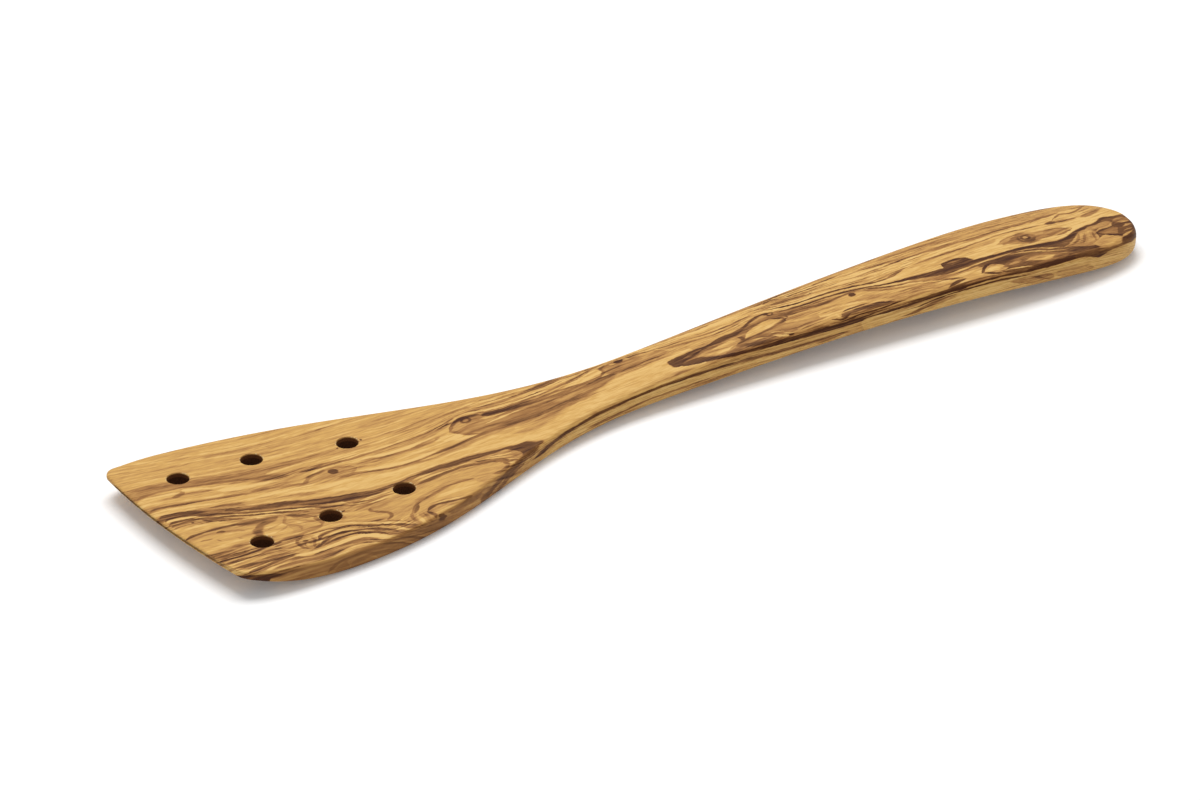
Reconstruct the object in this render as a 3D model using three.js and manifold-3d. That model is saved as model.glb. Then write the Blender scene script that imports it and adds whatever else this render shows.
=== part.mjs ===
// A kitchen spatula cut from one board of olive wood: a thin blade with drain holes, a narrow neck and a flat,
// rounded handle, all one piece. Millimetres. +X runs from the blade to the handle's end and +Z is up.
// The spatula lies on its heel and on the end of its handle, and the origin is under the middle of its outline.
import * as THREE from 'three';
import { mergeVertices } from 'three/addons/utils/BufferGeometryUtils.js';
import Module from 'manifold-3d';

// Plan: places along the spatula are measured from the tip of the blade's far corner, or from the handle's end.
const LENGTH = 317.6;
const BLADE_WIDTH = 67.6;
const FAR_SHOULDER_FROM_FRONT = 15;
const NEAR_SHOULDER_FROM_FRONT = 36;
const NECK_FROM_FRONT = 142;
const NECK_WIDTH = 19.8;
const GRIP_FROM_END = 35.4;
const GRIP_WIDTH = 33.1;

// Front edge: it is cut at a slant, so its near corner lies further back than its far one, and bows forward.
const FRONT_SLANT = 7.8;
const FRONT_BOW = 1.75;
const SLANT_FADE_LENGTH = 60;
const FAR_FLARE = 1.9;
const FAR_CORNER_RADIUS = 3.1;
const NEAR_CUTBACK = 5;
const NEAR_CORNER_RADIUS = 1.9;

// Side view: the upper face dips at the heel and arches over the handle.
const FRONT_TOP = 7.1;
const FRONT_THICKNESS = 1.7;
const HEEL_DIP_FROM_FRONT = 55;
const HEEL_TOP = 5.1;
const ARCH_FROM_END = 88.1;
const ARCH_TOP = 11.6;
const END_TOP = 8.1;

// Side view: the underside is flat at the heel, clear of the table under the handle and down again at its end.
const HEEL_FLAT_FROM_FRONT = 37;
const HEEL_FLAT_LENGTH = 43;
const UNDER_ARCH_FROM_END = 78.1;
const UNDER_ARCH_RISE = 3.7;
const END_REST_FROM_END = 8.7;

// How the curves bend. Each leaves its start and reaches its end along a straight line. The first number is
// that line's share of the curve's run, and the second its share of the curve's rise or fall.
const FAR_FLARE_BEND = { leave: [0.33, 0.5], reach: [0.33, 0] };
const FAR_TAPER_BEND = { leave: [0.41, 0], reach: [0.42, 0] };
const NEAR_ROUND_BEND = { leave: [0.18, 1], reach: [0.34, 0] };
const NEAR_TAPER_BEND = { leave: [0.41, 0], reach: [0.45, 0] };
const HANDLE_SWELL_BEND = { leave: [0.42, 0], reach: [0.19, 0] };
const HANDLE_END_BEND = { leave: [0.55, 0], reach: [0, 0.95] };
const UPPER_DISH_BEND = { leave: [0.33, 0.53], reach: [0.42, 0] };
const UPPER_RISE_BEND = { leave: [0.45, 0], reach: [0.42, 0] };
const UPPER_FALL_BEND = { leave: [0.5, 0], reach: [0.44, 0.5] };
const LOWER_DISH_BEND = { leave: [0.3, 0.55], reach: [0.38, 0] };
const LOWER_RISE_BEND = { leave: [0.63, 0], reach: [0.35, 0] };
const LOWER_FALL_BEND = { leave: [0.49, 0], reach: [0.12, 0] };
const LEVEL_BEND = { leave: [0.33, 0], reach: [0.33, 0] };

// Section: a slab with rounded edges, crisp on the blade and softer, with crowned faces, on neck and handle.
const BLADE_UPPER_EDGE_RADIUS = 1.2;
const BLADE_LOWER_EDGE_RADIUS = 1.4;
const HANDLE_UPPER_EDGE_RADIUS = 2.6;
const HANDLE_LOWER_EDGE_RADIUS = 3;
const HANDLE_UPPER_CROWN = 0.5;
const HANDLE_LOWER_CROWN = 0.8;
const SOFTENING_LENGTH = 75;

// The front edge and the handle's end are rounded over in side view, to a blunt share of the thickness there.
const FRONT_NOSE_LENGTH = 1;
const FRONT_BLUNT_SHARE = 0.35;
const END_NOSE_LENGTH = 1.5;
const END_BLUNT_SHARE = 0.45;
const END_BLUNT_WIDTH = 1.3;

// An edge radius never takes up more than these shares of the slab's thickness and half width.
const MOST_OF_THICKNESS = 0.45;
const MOST_OF_HALF_WIDTH = 0.9;

// Drain holes, drilled straight through: distance from the front tip, and distance in from the blade's side.
const HOLE_DIAMETER = 5.8;
const DRILL_LENGTH = 40;
const FAR_HOLES = [[15.1, 14.5], [35.7, 13.6], [60.7, 14]];
const NEAR_HOLES = [[19.7, 14.5], [40.1, 17.6], [62, 16]];

// Facets: ribs along the spatula, points across each face, steps round each edge, sides of each hole.
const RIBS = 80;
const FACE_POINTS = 7;
const EDGE_STEPS = 4;
const HOLE_SIDES = 24;
const HALVINGS = 40;

const WOOD_COLOUR = 0xb98a4a;
const WOOD_ROUGHNESS = 0.55;
const wood = new THREE.MeshStandardMaterial({
  name: 'olive_wood',
  color: WOOD_COLOUR,
  roughness: WOOD_ROUGHNESS,
});

// A curve from one place to another, each place a distance along the spatula and a height or half width.
function curve([fromAlong, fromHeight], [toAlong, toHeight], { leave, reach }) {
  const run = toAlong - fromAlong;
  const rise = toHeight - fromHeight;
  return new THREE.CubicBezierCurve(
    new THREE.Vector2(fromAlong, fromHeight),
    new THREE.Vector2(fromAlong + leave[0] * run, fromHeight + leave[1] * rise),
    new THREE.Vector2(toAlong - reach[0] * run, toHeight - reach[1] * rise),
    new THREE.Vector2(toAlong, toHeight),
  );
}

// The height of a chain of curves at a distance along it, found by halving.
function heightOn(chain, along) {
  const part = chain.find((piece) => along <= piece.v3.x) ?? chain.at(-1);
  let low = 0;
  let high = 1;
  for (let step = 0; step < HALVINGS; step += 1) {
    const middle = (low + high) / 2;
    if (part.getPoint(middle).x < along) low = middle;
    else high = middle;
  }
  return part.getPoint((low + high) / 2).y;
}

// How much a rounded corner takes off, at a distance from where its quarter circle starts.
function cornerLoss(radius, along) {
  const back = THREE.MathUtils.clamp(1 - along / radius, 0, 1);
  return radius * (1 - Math.sqrt(1 - back * back));
}

// The plan outline on each side of the middle line. Neck and handle are alike on both sides.
const neck = [NECK_FROM_FRONT, NECK_WIDTH / 2];
const grip = [LENGTH - GRIP_FROM_END, GRIP_WIDTH / 2];
const farShoulder = [FAR_SHOULDER_FROM_FRONT, BLADE_WIDTH / 2];
const nearShoulder = [NEAR_SHOULDER_FROM_FRONT, BLADE_WIDTH / 2];
const handleSide = [
  curve(neck, grip, HANDLE_SWELL_BEND),
  curve(grip, [LENGTH, 0], HANDLE_END_BEND),
];
const farSide = [
  curve([0, BLADE_WIDTH / 2 - FAR_FLARE], farShoulder, FAR_FLARE_BEND),
  curve(farShoulder, neck, FAR_TAPER_BEND),
  ...handleSide,
];
const nearSide = [
  curve([FRONT_SLANT, BLADE_WIDTH / 2 - NEAR_CUTBACK], nearShoulder, NEAR_ROUND_BEND),
  curve(nearShoulder, neck, NEAR_TAPER_BEND),
  ...handleSide,
];
const farReach = (along) => heightOn(farSide, along) - cornerLoss(FAR_CORNER_RADIUS, along);
const nearReach = (along) => heightOn(nearSide, along) - cornerLoss(NEAR_CORNER_RADIUS, along - FRONT_SLANT);

// The side view's upper and lower lines.
const heelDip = [HEEL_DIP_FROM_FRONT, HEEL_TOP];
const archTop = [LENGTH - ARCH_FROM_END, ARCH_TOP];
const upperLine = [
  curve([0, FRONT_TOP], heelDip, UPPER_DISH_BEND),
  curve(heelDip, archTop, UPPER_RISE_BEND),
  curve(archTop, [LENGTH, END_TOP], UPPER_FALL_BEND),
];
const heelFlatStart = [HEEL_FLAT_FROM_FRONT, 0];
const heelFlatEnd = [HEEL_FLAT_FROM_FRONT + HEEL_FLAT_LENGTH, 0];
const underArch = [LENGTH - UNDER_ARCH_FROM_END, UNDER_ARCH_RISE];
const endRest = [LENGTH - END_REST_FROM_END, 0];
const lowerLine = [
  curve([0, FRONT_TOP - FRONT_THICKNESS], heelFlatStart, LOWER_DISH_BEND),
  curve(heelFlatStart, heelFlatEnd, LEVEL_BEND),
  curve(heelFlatEnd, underArch, LOWER_RISE_BEND),
  curve(underArch, endRest, LOWER_FALL_BEND),
  curve(endRest, [LENGTH, 0], LEVEL_BEND),
];

// Points of one face of the slab, from one edge to the other: a shallow crown, set out by the edge's radius.
function crownedFace(halfWidth, level, radius, crown, side) {
  const core = halfWidth - radius;
  return Array.from({ length: FACE_POINTS }, (_, i) => {
    const share = side * (2 * i / (FACE_POINTS - 1) - 1);
    const lean = 2 * crown * share / core;
    const stretch = Math.hypot(1, lean);
    return [
      core * share + radius * lean / stretch,
      level + side * (crown * (1 - share * share) - radius + radius / stretch),
    ];
  });
}

// Points of one rounded edge, turning from the side wall to a face.
function roundedEdge(halfWidth, level, radius, crown, acrossSide, faceSide) {
  const core = halfWidth - radius;
  const turn = Math.PI / 2 - Math.atan(2 * crown / core);
  return Array.from({ length: EDGE_STEPS }, (_, i) => {
    const angle = turn * i / EDGE_STEPS;
    return [
      acrossSide * (core + radius * Math.cos(angle)),
      level + faceSide * (radius * Math.sin(angle) - radius),
    ];
  });
}

// One rib: the outline of the board across the spatula. Ribs lie along the slanted front edge at the front, and
// turn square to the length further back.
function ribAt(farAlong) {
  const slantLeft = Math.max(0, 1 - farAlong / SLANT_FADE_LENGTH) ** 2;
  const nearAlong = farAlong + FRONT_SLANT * slantLeft;
  const far = farReach(farAlong);
  const near = -nearReach(nearAlong);
  const halfWidth = Math.max(far - near, END_BLUNT_WIDTH) / 2;
  const middle = (far + near) / 2;

  const softness = THREE.MathUtils.smoothstep(farAlong, heelFlatEnd[0], heelFlatEnd[0] + SOFTENING_LENGTH);
  const upperCrown = HANDLE_UPPER_CROWN * softness;
  const lowerCrown = HANDLE_LOWER_CROWN * softness;
  const upper = heightOn(upperLine, farAlong);
  const lower = heightOn(lowerLine, farAlong) + lowerCrown;
  const frontShare = 1 - cornerLoss(1, farAlong / FRONT_NOSE_LENGTH) * (1 - FRONT_BLUNT_SHARE);
  const endShare = 1 - cornerLoss(1, (LENGTH - farAlong) / END_NOSE_LENGTH) * (1 - END_BLUNT_SHARE);
  const thickness = (upper - lower) * frontShare * endShare;
  const top = (upper + lower + thickness) / 2;
  const bottom = top - thickness;

  const mostRadius = Math.min(MOST_OF_THICKNESS * thickness, MOST_OF_HALF_WIDTH * halfWidth);
  const edgeRadius = (blade, handle) => Math.min(THREE.MathUtils.lerp(blade, handle, softness), mostRadius);
  const upperRadius = edgeRadius(BLADE_UPPER_EDGE_RADIUS, HANDLE_UPPER_EDGE_RADIUS);
  const lowerRadius = edgeRadius(BLADE_LOWER_EDGE_RADIUS, HANDLE_LOWER_EDGE_RADIUS);
  const outline = [
    ...crownedFace(halfWidth, top, upperRadius, upperCrown, 1),
    ...roundedEdge(halfWidth, top, upperRadius, upperCrown, 1, 1).reverse(),
    ...roundedEdge(halfWidth, bottom, lowerRadius, lowerCrown, 1, -1),
    ...crownedFace(halfWidth, bottom, lowerRadius, lowerCrown, -1),
    ...roundedEdge(halfWidth, bottom, lowerRadius, lowerCrown, -1, -1).reverse(),
    ...roundedEdge(halfWidth, top, upperRadius, upperCrown, -1, 1),
  ];
  return outline.map(([across, height]) => {
    const share = (across + halfWidth) / (2 * halfWidth);
    const bow = FRONT_BOW * slantLeft * 4 * share * (1 - share);
    const along = THREE.MathUtils.lerp(nearAlong, farAlong, share) - bow;
    return new THREE.Vector3(along - LENGTH / 2, middle + across, height);
  });
}

// A closed skin over ribs that all have the same number of points, with a flat cap on the first and the last.
function loft(ribs) {
  const around = ribs[0].length;
  const triangles = [];
  for (let rib = 0; rib < ribs.length - 1; rib += 1) {
    for (let i = 0; i < around; i += 1) {
      const a = rib * around + i;
      const b = rib * around + (i + 1) % around;
      triangles.push(a, a + around, b, b, a + around, b + around);
    }
  }
  const last = (ribs.length - 1) * around;
  for (let i = 1; i < around - 1; i += 1) {
    triangles.push(0, i, i + 1);
    triangles.push(last, last + i + 1, last + i);
  }
  return new THREE.BufferGeometry().setFromPoints(ribs.flat()).setIndex(triangles);
}

// Ribs lie closer together towards both ends, where the outline turns.
const ribs = Array.from({ length: RIBS + 1 }, (_, i) => {
  const turn = Math.PI * i / RIBS;
  return ribAt(LENGTH * (1 - Math.cos(turn)) / 2);
});

const wasm = await Module();
wasm.setup();

function solidFrom(geometry) {
  const bare = geometry.clone();
  bare.deleteAttribute('normal');
  bare.deleteAttribute('uv');
  const closed = mergeVertices(bare);
  return new wasm.Manifold(new wasm.Mesh({
    numProp: 3,
    vertProperties: new Float32Array(closed.attributes.position.array),
    triVerts: new Uint32Array(closed.index.array),
  }));
}

// A straight drill, longer than the board is thick, at a place along the spatula and across its middle line.
function drillAt(along, across) {
  const drill = new THREE.CylinderGeometry(HOLE_DIAMETER / 2, HOLE_DIAMETER / 2, DRILL_LENGTH, HOLE_SIDES);
  drill.rotateX(Math.PI / 2);
  drill.translate(along - LENGTH / 2, across, 0);
  return solidFrom(drill);
}

let board = solidFrom(loft(ribs));
for (const [along, inward] of FAR_HOLES) {
  board = board.subtract(drillAt(along, farReach(along) - inward));
}
for (const [along, inward] of NEAR_HOLES) {
  board = board.subtract(drillAt(along, inward - nearReach(along)));
}

const { vertProperties, triVerts } = board.getMesh();
const boardGeometry = new THREE.BufferGeometry()
  .setAttribute('position', new THREE.BufferAttribute(vertProperties, 3))
  .setIndex(new THREE.BufferAttribute(triVerts, 1));
boardGeometry.computeVertexNormals();

const body = new THREE.Mesh(boardGeometry, wood);
body.name = 'spatula';

const spatula = new THREE.Group();
spatula.add(body);

export default spatula;
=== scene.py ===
import math

import bpy
import numpy as np
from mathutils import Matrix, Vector, bvhtree, geometry, noise


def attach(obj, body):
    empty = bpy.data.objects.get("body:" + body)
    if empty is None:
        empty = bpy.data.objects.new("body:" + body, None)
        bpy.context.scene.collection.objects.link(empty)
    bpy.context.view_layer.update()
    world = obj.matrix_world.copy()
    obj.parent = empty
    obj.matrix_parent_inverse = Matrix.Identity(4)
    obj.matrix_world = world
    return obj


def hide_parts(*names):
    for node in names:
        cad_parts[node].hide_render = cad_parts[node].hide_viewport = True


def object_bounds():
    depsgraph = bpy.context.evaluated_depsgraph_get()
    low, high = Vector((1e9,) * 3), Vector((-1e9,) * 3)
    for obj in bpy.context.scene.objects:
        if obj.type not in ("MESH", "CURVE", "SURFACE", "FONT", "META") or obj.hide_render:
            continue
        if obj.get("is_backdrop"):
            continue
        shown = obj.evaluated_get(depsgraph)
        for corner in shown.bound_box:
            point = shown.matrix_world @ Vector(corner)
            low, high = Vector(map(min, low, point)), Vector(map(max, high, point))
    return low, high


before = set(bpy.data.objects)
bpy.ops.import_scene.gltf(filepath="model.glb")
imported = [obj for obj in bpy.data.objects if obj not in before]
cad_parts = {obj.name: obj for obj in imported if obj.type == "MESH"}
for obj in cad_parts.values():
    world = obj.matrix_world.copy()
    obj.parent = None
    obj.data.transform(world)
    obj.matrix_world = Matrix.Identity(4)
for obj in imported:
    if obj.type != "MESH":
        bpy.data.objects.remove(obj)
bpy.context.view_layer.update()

# The spatula: blade, neck and handle are one piece, cut from a single board of olive wood.
# The board is sawn to its outline, dished and thinned towards the front of the blade, then sanded by hand until its
# edges are soft, and oiled.
MM = 0.001
LENGTH = 317.6
HALF_BLADE = 33.8
HALF_NECK = 9.9
HALF_GRIP = 16.55
NARROWEST = 1.3
NECK_AT = 142
GRIP_AT = 282.2
FRONT_SLANT = 7.8
FRONT_BOW = 1.75
SLANT_FADE = 60
FAR_CORNER = 3.1
NEAR_CORNER = 1.9
HEEL_START = 37
HEEL_END = 80
FRONT_THINNING = 0.65
END_THINNING = 0.55
END_ROUNDING = 1.5
# The edges' radius at the blade, what is added to it between the heel and the grip, and the faces' crown from there.
SOFTENING = 75
UPPER_EDGE, UPPER_EDGE_ADDED, UPPER_CROWN_ADDED = 1.2, 1.4, 0.5
LOWER_EDGE, LOWER_EDGE_ADDED, LOWER_CROWN_ADDED = 1.4, 1.6, 0.8
RIBS = 240
SMOOTH_UP_TO = math.radians(35)


def bend(start, end, leave, reach):
    """A curve between two places, with the share of its run and of its rise that it keeps straight at each end."""
    start, end = Vector(start), Vector(end)
    span = end - start
    first = start + Vector((leave[0] * span.x, leave[1] * span.y))
    last = end - Vector((reach[0] * span.x, reach[1] * span.y))
    return geometry.interpolate_bezier(start, first, last, end, 120)


def height_on(curves):
    """How high a chain of curves is at any distance along the board."""
    places = np.array([place for curve in curves for place in curve])
    return lambda along: np.interp(along, places[:, 0], places[:, 1])


def corner_loss(radius, along):
    """What a rounded corner takes off, at a distance from where it starts."""
    back = np.clip(1 - along / radius, 0, 1)
    return radius * (1 - np.sqrt(1 - back * back))


handle_side = [
    bend((NECK_AT, HALF_NECK), (GRIP_AT, HALF_GRIP), (0.42, 0), (0.19, 0)),
    bend((GRIP_AT, HALF_GRIP), (LENGTH, 0), (0.55, 0), (0, 0.95)),
]
far_line = height_on([
    bend((0, 31.9), (15, HALF_BLADE), (0.33, 0.5), (0.33, 0)),
    bend((15, HALF_BLADE), (NECK_AT, HALF_NECK), (0.41, 0), (0.42, 0)),
    *handle_side,
])
near_line = height_on([
    bend((FRONT_SLANT, 28.8), (36, HALF_BLADE), (0.18, 1), (0.34, 0)),
    bend((36, HALF_BLADE), (NECK_AT, HALF_NECK), (0.41, 0), (0.45, 0)),
    *handle_side,
])
upper_line = height_on([
    bend((0, 7.1), (55, 5.1), (0.33, 0.53), (0.42, 0)),
    bend((55, 5.1), (229.5, 11.6), (0.45, 0), (0.42, 0)),
    bend((229.5, 11.6), (LENGTH, 8.1), (0.5, 0), (0.44, 0.5)),
])
lower_line = height_on([
    bend((0, 5.4), (HEEL_START, 0), (0.3, 0.55), (0.38, 0)),
    bend((HEEL_START, 0), (HEEL_END, 0), (0.33, 0), (0.33, 0)),
    bend((HEEL_END, 0), (239.5, 3.7), (0.63, 0), (0.35, 0)),
    bend((239.5, 3.7), (308.9, 0), (0.49, 0), (0.12, 0)),
    bend((308.9, 0), (LENGTH, 0), (0.33, 0), (0.33, 0)),
])


def half_outline(half_width, level, radius, crown, face, points=27, steps=6):
    """One face of the board across its width, with the rounded edge at either side of it."""
    core = half_width - radius
    turn = math.pi / 2 - math.atan(2 * crown / core)
    edge = [(core + radius * math.cos(turn * i / steps), radius * math.sin(turn * i / steps) - radius)
            for i in range(steps)]
    share = np.linspace(1, -1, points)
    lean = 2 * crown * share / core
    stretch = np.hypot(1, lean)
    flat = zip(core * share + radius * lean / stretch, crown * (1 - share ** 2) - radius + radius / stretch)
    row = [*edge, *flat, *((-across, rise) for across, rise in reversed(edge))]
    return [(across, level + face * rise) for across, rise in row]


def rib(along):
    """The board's outline across, at a distance from its front. Ribs follow the slanted, bowed front edge there."""
    slant_left = max(0, 1 - along / SLANT_FADE) ** 2
    near_along = along + FRONT_SLANT * slant_left
    far = far_line(along) - corner_loss(FAR_CORNER, along)
    near = corner_loss(NEAR_CORNER, near_along - FRONT_SLANT) - near_line(near_along)
    half_width, middle = max(far - near, NARROWEST) / 2, (far + near) / 2
    share = min(max((along - HEEL_END) / SOFTENING, 0), 1)
    soft = share * share * (3 - 2 * share)
    upper, lower = upper_line(along), lower_line(along) + LOWER_CROWN_ADDED * soft
    front = 1 - FRONT_THINNING * corner_loss(1, along)
    end = 1 - END_THINNING * corner_loss(1, (LENGTH - along) / END_ROUNDING)
    thickness = (upper - lower) * front * end
    top = (upper + lower + thickness) / 2
    most = min(0.45 * thickness, 0.9 * half_width)
    above = half_outline(half_width, top, min(UPPER_EDGE + UPPER_EDGE_ADDED * soft, most),
                         UPPER_CROWN_ADDED * soft, 1)
    below = half_outline(half_width, top - thickness, min(LOWER_EDGE + LOWER_EDGE_ADDED * soft, most),
                         LOWER_CROWN_ADDED * soft, -1)
    places = []
    for across, height in [*above, *reversed(below)]:
        share = 0.5 + across / (2 * half_width)
        shift = FRONT_SLANT * slant_left * (1 - share) - 4 * FRONT_BOW * slant_left * share * (1 - share)
        places.append((along + shift - LENGTH / 2, middle + across, height))
    return places


ribs = [rib(LENGTH * (1 - math.cos(math.pi * i / RIBS)) / 2) for i in range(RIBS + 1)]
around = len(ribs[0])
faces = [tuple(range(around)), tuple(RIBS * around + i for i in reversed(range(around)))]
for i in range(RIBS):
    for j in range(around):
        a, b = i * around + j, i * around + (j + 1) % around
        faces.append((a, a + around, b + around, b))
board_mesh = bpy.data.meshes.new("spatula_board")
board_mesh.from_pydata([tuple(MM * x for x in place) for row in ribs for place in row], [], faces)
board_mesh.validate()
board_mesh.update()
board = bpy.data.objects.new("spatula_board", board_mesh)
bpy.context.scene.collection.objects.link(board)
for face in board_mesh.polygons:
    face.use_smooth = True
board_mesh.set_sharp_from_angle(angle=SMOOTH_UP_TO)

# The wood's figure: olive wood, sawn along its length, sanded and oiled. Places on it are millimetres from the
# blade's front and across, as seen on the upper face, and the sheets of grain lean through the board, so the same
# figure runs on down its sides.
LEAN_ALONG = 0.943
LEAN_ACROSS = 1.453
MARKS_IN_GROUP = 20
LINE_SPREAD, LINE_FADE = 0.78, 0.6
KNOT_EDGE, KNOT_CORE, KNOT_REACH = (1.15, 0.8), (0.6, 0.35), 1.2
grain = bpy.data.node_groups.new("grain_of_board", "ShaderNodeTree")
for socket in ("Place", "Facing"):
    grain.interface.new_socket(socket, in_out="INPUT", socket_type="NodeSocketVector")
for socket in ("Along", "Across", "Ground", "Lines", "Cut_And_Shade"):
    grain.interface.new_socket(socket, in_out="OUTPUT", socket_type="NodeSocketFloat")
nodes, link = grain.nodes, grain.links.new


def node_for(kind, inputs):
    """A shader node beside the fields that feed it. Plain numbers are set on its own sockets."""
    tree = next(value.socket.id_data for value in inputs.values() if isinstance(value, Field))
    node = tree.nodes.new(kind)
    for name, value in inputs.items():
        if isinstance(value, Field):
            tree.links.new(value.socket, node.inputs[name])
        else:
            node.inputs[name].default_value = value
    return node


def reckon(operation, first, second=0, clamp=False):
    """One sum on values that vary through the wood."""
    node = node_for("ShaderNodeMath", {0: first, 1: second})
    node.operation = operation
    node.use_clamp = clamp
    return Field(node.outputs[0])


class Field:
    """A value that varies through the wood."""

    def __init__(self, socket):
        self.socket = socket

    def __add__(self, other):
        return reckon("ADD", self, other)

    def __sub__(self, other):
        return reckon("SUBTRACT", self, other)

    def __mul__(self, other):
        return reckon("MULTIPLY", self, other)

    def __truediv__(self, other):
        return reckon("DIVIDE", self, other)


def rising(value, start, end, low=0, high=1):
    """A smooth step up, from low to high, as a value goes from start to end."""
    node = node_for("ShaderNodeMapRange", {"Value": value, "From Min": start, "From Max": end, "To Min": low,
                                           "To Max": high})
    node.interpolation_type = "SMOOTHSTEP"
    return Field(node.outputs["Result"])


def drawn(points, value):
    """A line through given places."""
    node = node_for("ShaderNodeFloatCurve", {"Value": value})
    node.mapping.use_clip = False
    node.mapping.extend = "HORIZONTAL"
    curve = node.mapping.curves[0]
    curve.points[0].location = points[0]
    curve.points[1].location = points[-1]
    for place in points[1:-1]:
        curve.points.new(*place)
    node.mapping.update()
    return Field(node.outputs[0])


def clouds(x, y, z=0, detail=2, roughness=0.5):
    """Soft random variation about 0, one step wide for each unit of its places."""
    place = node_for("ShaderNodeCombineXYZ", {"X": x, "Y": y, "Z": z})
    node = node_for("ShaderNodeTexNoise", {"Vector": Field(place.outputs[0]), "Scale": 1, "Detail": detail,
                                           "Roughness": roughness})
    return Field(node.outputs[0]) - 0.5


given = nodes.new("NodeGroupInput")
split = nodes.new("ShaderNodeSeparateXYZ")
link(given.outputs["Place"], split.inputs[0])
x, y, z = (Field(socket) * 1000 for socket in split.outputs)
from_front = x + LENGTH / 2
depth = drawn([(a, float(upper_line(a))) for a in range(0, 325, 12)], from_front) - z
straight_along = from_front - depth * LEAN_ALONG
straight_across = y - depth * LEAN_ACROSS

# No line of grain is quite straight: it sways slowly, shakes, and frays at its edges, by parts of a millimetre.
sway = clouds(straight_along / 16, straight_across / 5, detail=3)
shake = clouds(straight_along / 5, straight_across / 0.8, detail=2)
along = straight_along + sway * 2.4
fray = clouds(straight_along / 1.8, straight_across / 0.4, detail=2)
across = straight_across + sway * 1.1 + shake * 0.8 + fray * 0.45

# Fine grain lines follow the bolder ones beside them: each row is a line of one ring of growth.
RINGS = [
    (34, [(0, 37), (20, 34), (40, 31), (65, 30.5), (100, 27), (140, 22), (180, 20), (250, 20), (318, 20)]),
    (22, [(0, 24), (20, 22.5), (40, 20), (65, 19), (80, 17.5), (100, 15.5), (120, 13), (140, 11), (180, 10),
          (250, 13), (318, 12)]),
    (14, [(0, 17), (10, 16), (20, 14), (30, 11.5), (40, 10.5), (60, 9.5), (75, 9.2), (85, 10.5), (95, 11), (110, 9),
          (130, 8.4), (150, 7.5), (170, 7), (200, 6.5), (240, 7.5), (280, 9), (318, 9)]),
    (8, [(0, 8), (5, 8.2), (10, 7.3), (20, 5.5), (30, 3.8), (40, 3.8), (50, 5.3), (60, 4.6), (70, 4), (80, 4.7),
         (92, 7.6), (100, 5.5), (110, 4.6), (125, 5), (135, 7), (150, 6), (160, 4.6), (172, 3), (180, 4), (187, 4.4),
         (195, 2.9), (210, 2), (220, 0.5), (232, 1.2), (250, 3.3), (270, 5.3), (285, 5), (300, 4.4), (318, 6)]),
    (3, [(0, 4), (10, 3.2), (20, 1.5), (30, 0.2), (45, -2), (55, -2), (64, -4.5), (75, -5), (85, -4.2), (93, -3),
         (100, -3.5), (120, -2), (140, -1), (160, -1), (172, -0.5), (185, 2), (195, -1), (215, -1.5), (225, -4.5),
         (240, -6.5), (250, -6.5), (270, -5.5), (285, -6.5), (300, -2), (318, -0.8)]),
    (0, [(0, 0.5), (10, 0.2), (20, -1.2), (30, -4.4), (40, -7.4), (50, -10), (57, -11.5), (68, -11), (80, -10.8),
         (90, -12), (103, -14.6), (110, -13.5), (120, -12), (140, -11), (160, -10.5), (180, -12.4), (200, -14.5),
         (230, -15.2), (260, -16.5), (280, -17.5), (318, -17)]),
    (-6, [(0, -5), (10, -4), (20, -6.6), (30, -10), (40, -13.2), (50, -15.4), (62, -15.6), (75, -14.2), (85, -15.4),
          (93, -19), (103, -16.5), (110, -15.5), (120, -14), (140, -13), (160, -13.8), (180, -16.8), (200, -18.6),
          (230, -19.5), (260, -20.5), (318, -22)]),
    (-13, [(0, -20), (10, -20.2), (20, -20.5), (30, -21), (40, -22), (50, -27), (60, -24), (70, -20.5), (80, -21.5),
           (90, -23), (103, -19), (120, -16.5), (140, -16), (160, -17), (180, -19.5), (200, -21), (318, -27)]),
    (-22, [(0, -32), (20, -29.5), (30, -29.6), (40, -28.4), (50, -33.5), (60, -35), (80, -34), (100, -27), (120, -21),
           (160, -22), (318, -36)]),
    (-36, [(0, -48), (60, -50), (120, -34), (160, -34), (318, -46)]),
]
edges = [(mark, drawn(points, along)) for mark, points in RINGS]
ring = Field(nodes.new("ShaderNodeValue").outputs[0])
ring.socket.default_value = RINGS[-1][0]
for (high, upper), (low, lower) in zip(edges, edges[1:]):
    ring = ring + reckon("DIVIDE", across - lower, upper - lower, clamp=True) * (high - low)
hairlines = clouds(ring * 1.1, along / 26, detail=2, roughness=0.6)
bands = clouds(ring * 0.45 + 40, along / 100, detail=2)
flecks = clouds(straight_along / 3, y / 0.55, z / 0.55, detail=1)
streaks = clouds(straight_along / 9, across / 0.42, detail=2, roughness=0.7)


def between(along, across, upper, lower, above, below):
    """1 inside an area drawn by its two edges, fading out over a distance inside each of them."""
    return rising(drawn(upper, along) - across, 0, above) * rising(across - drawn(lower, along), 0, below)


def laid(ground, value, cover):
    """A value laid over a ground where the cover is 1."""
    return Field(node_for("ShaderNodeMix", {0: cover, 2: ground, 3: value}).outputs[0])


def pairs(numbers):
    """Places from a row of numbers, two to a place."""
    return list(zip(numbers[::2], numbers[1::2]))


def area(value, upper, lower, above=0.6, below=0.6):
    """A mark between two edges, which meet just past its ends: its start, its end, and how it is laid on a ground."""
    upper, lower = pairs(upper), pairs(lower)
    first = upper[0][0] - 1, (upper[0][1] + lower[0][1]) / 2
    last = upper[-1][0] + 1, (upper[-1][1] + lower[-1][1]) / 2
    upper, lower = [first, *upper, last], [first, *lower, last]
    return first[0], last[0], lambda along, across, ground: laid(
        ground, value, between(along, across, upper, lower, above, below))


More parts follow.
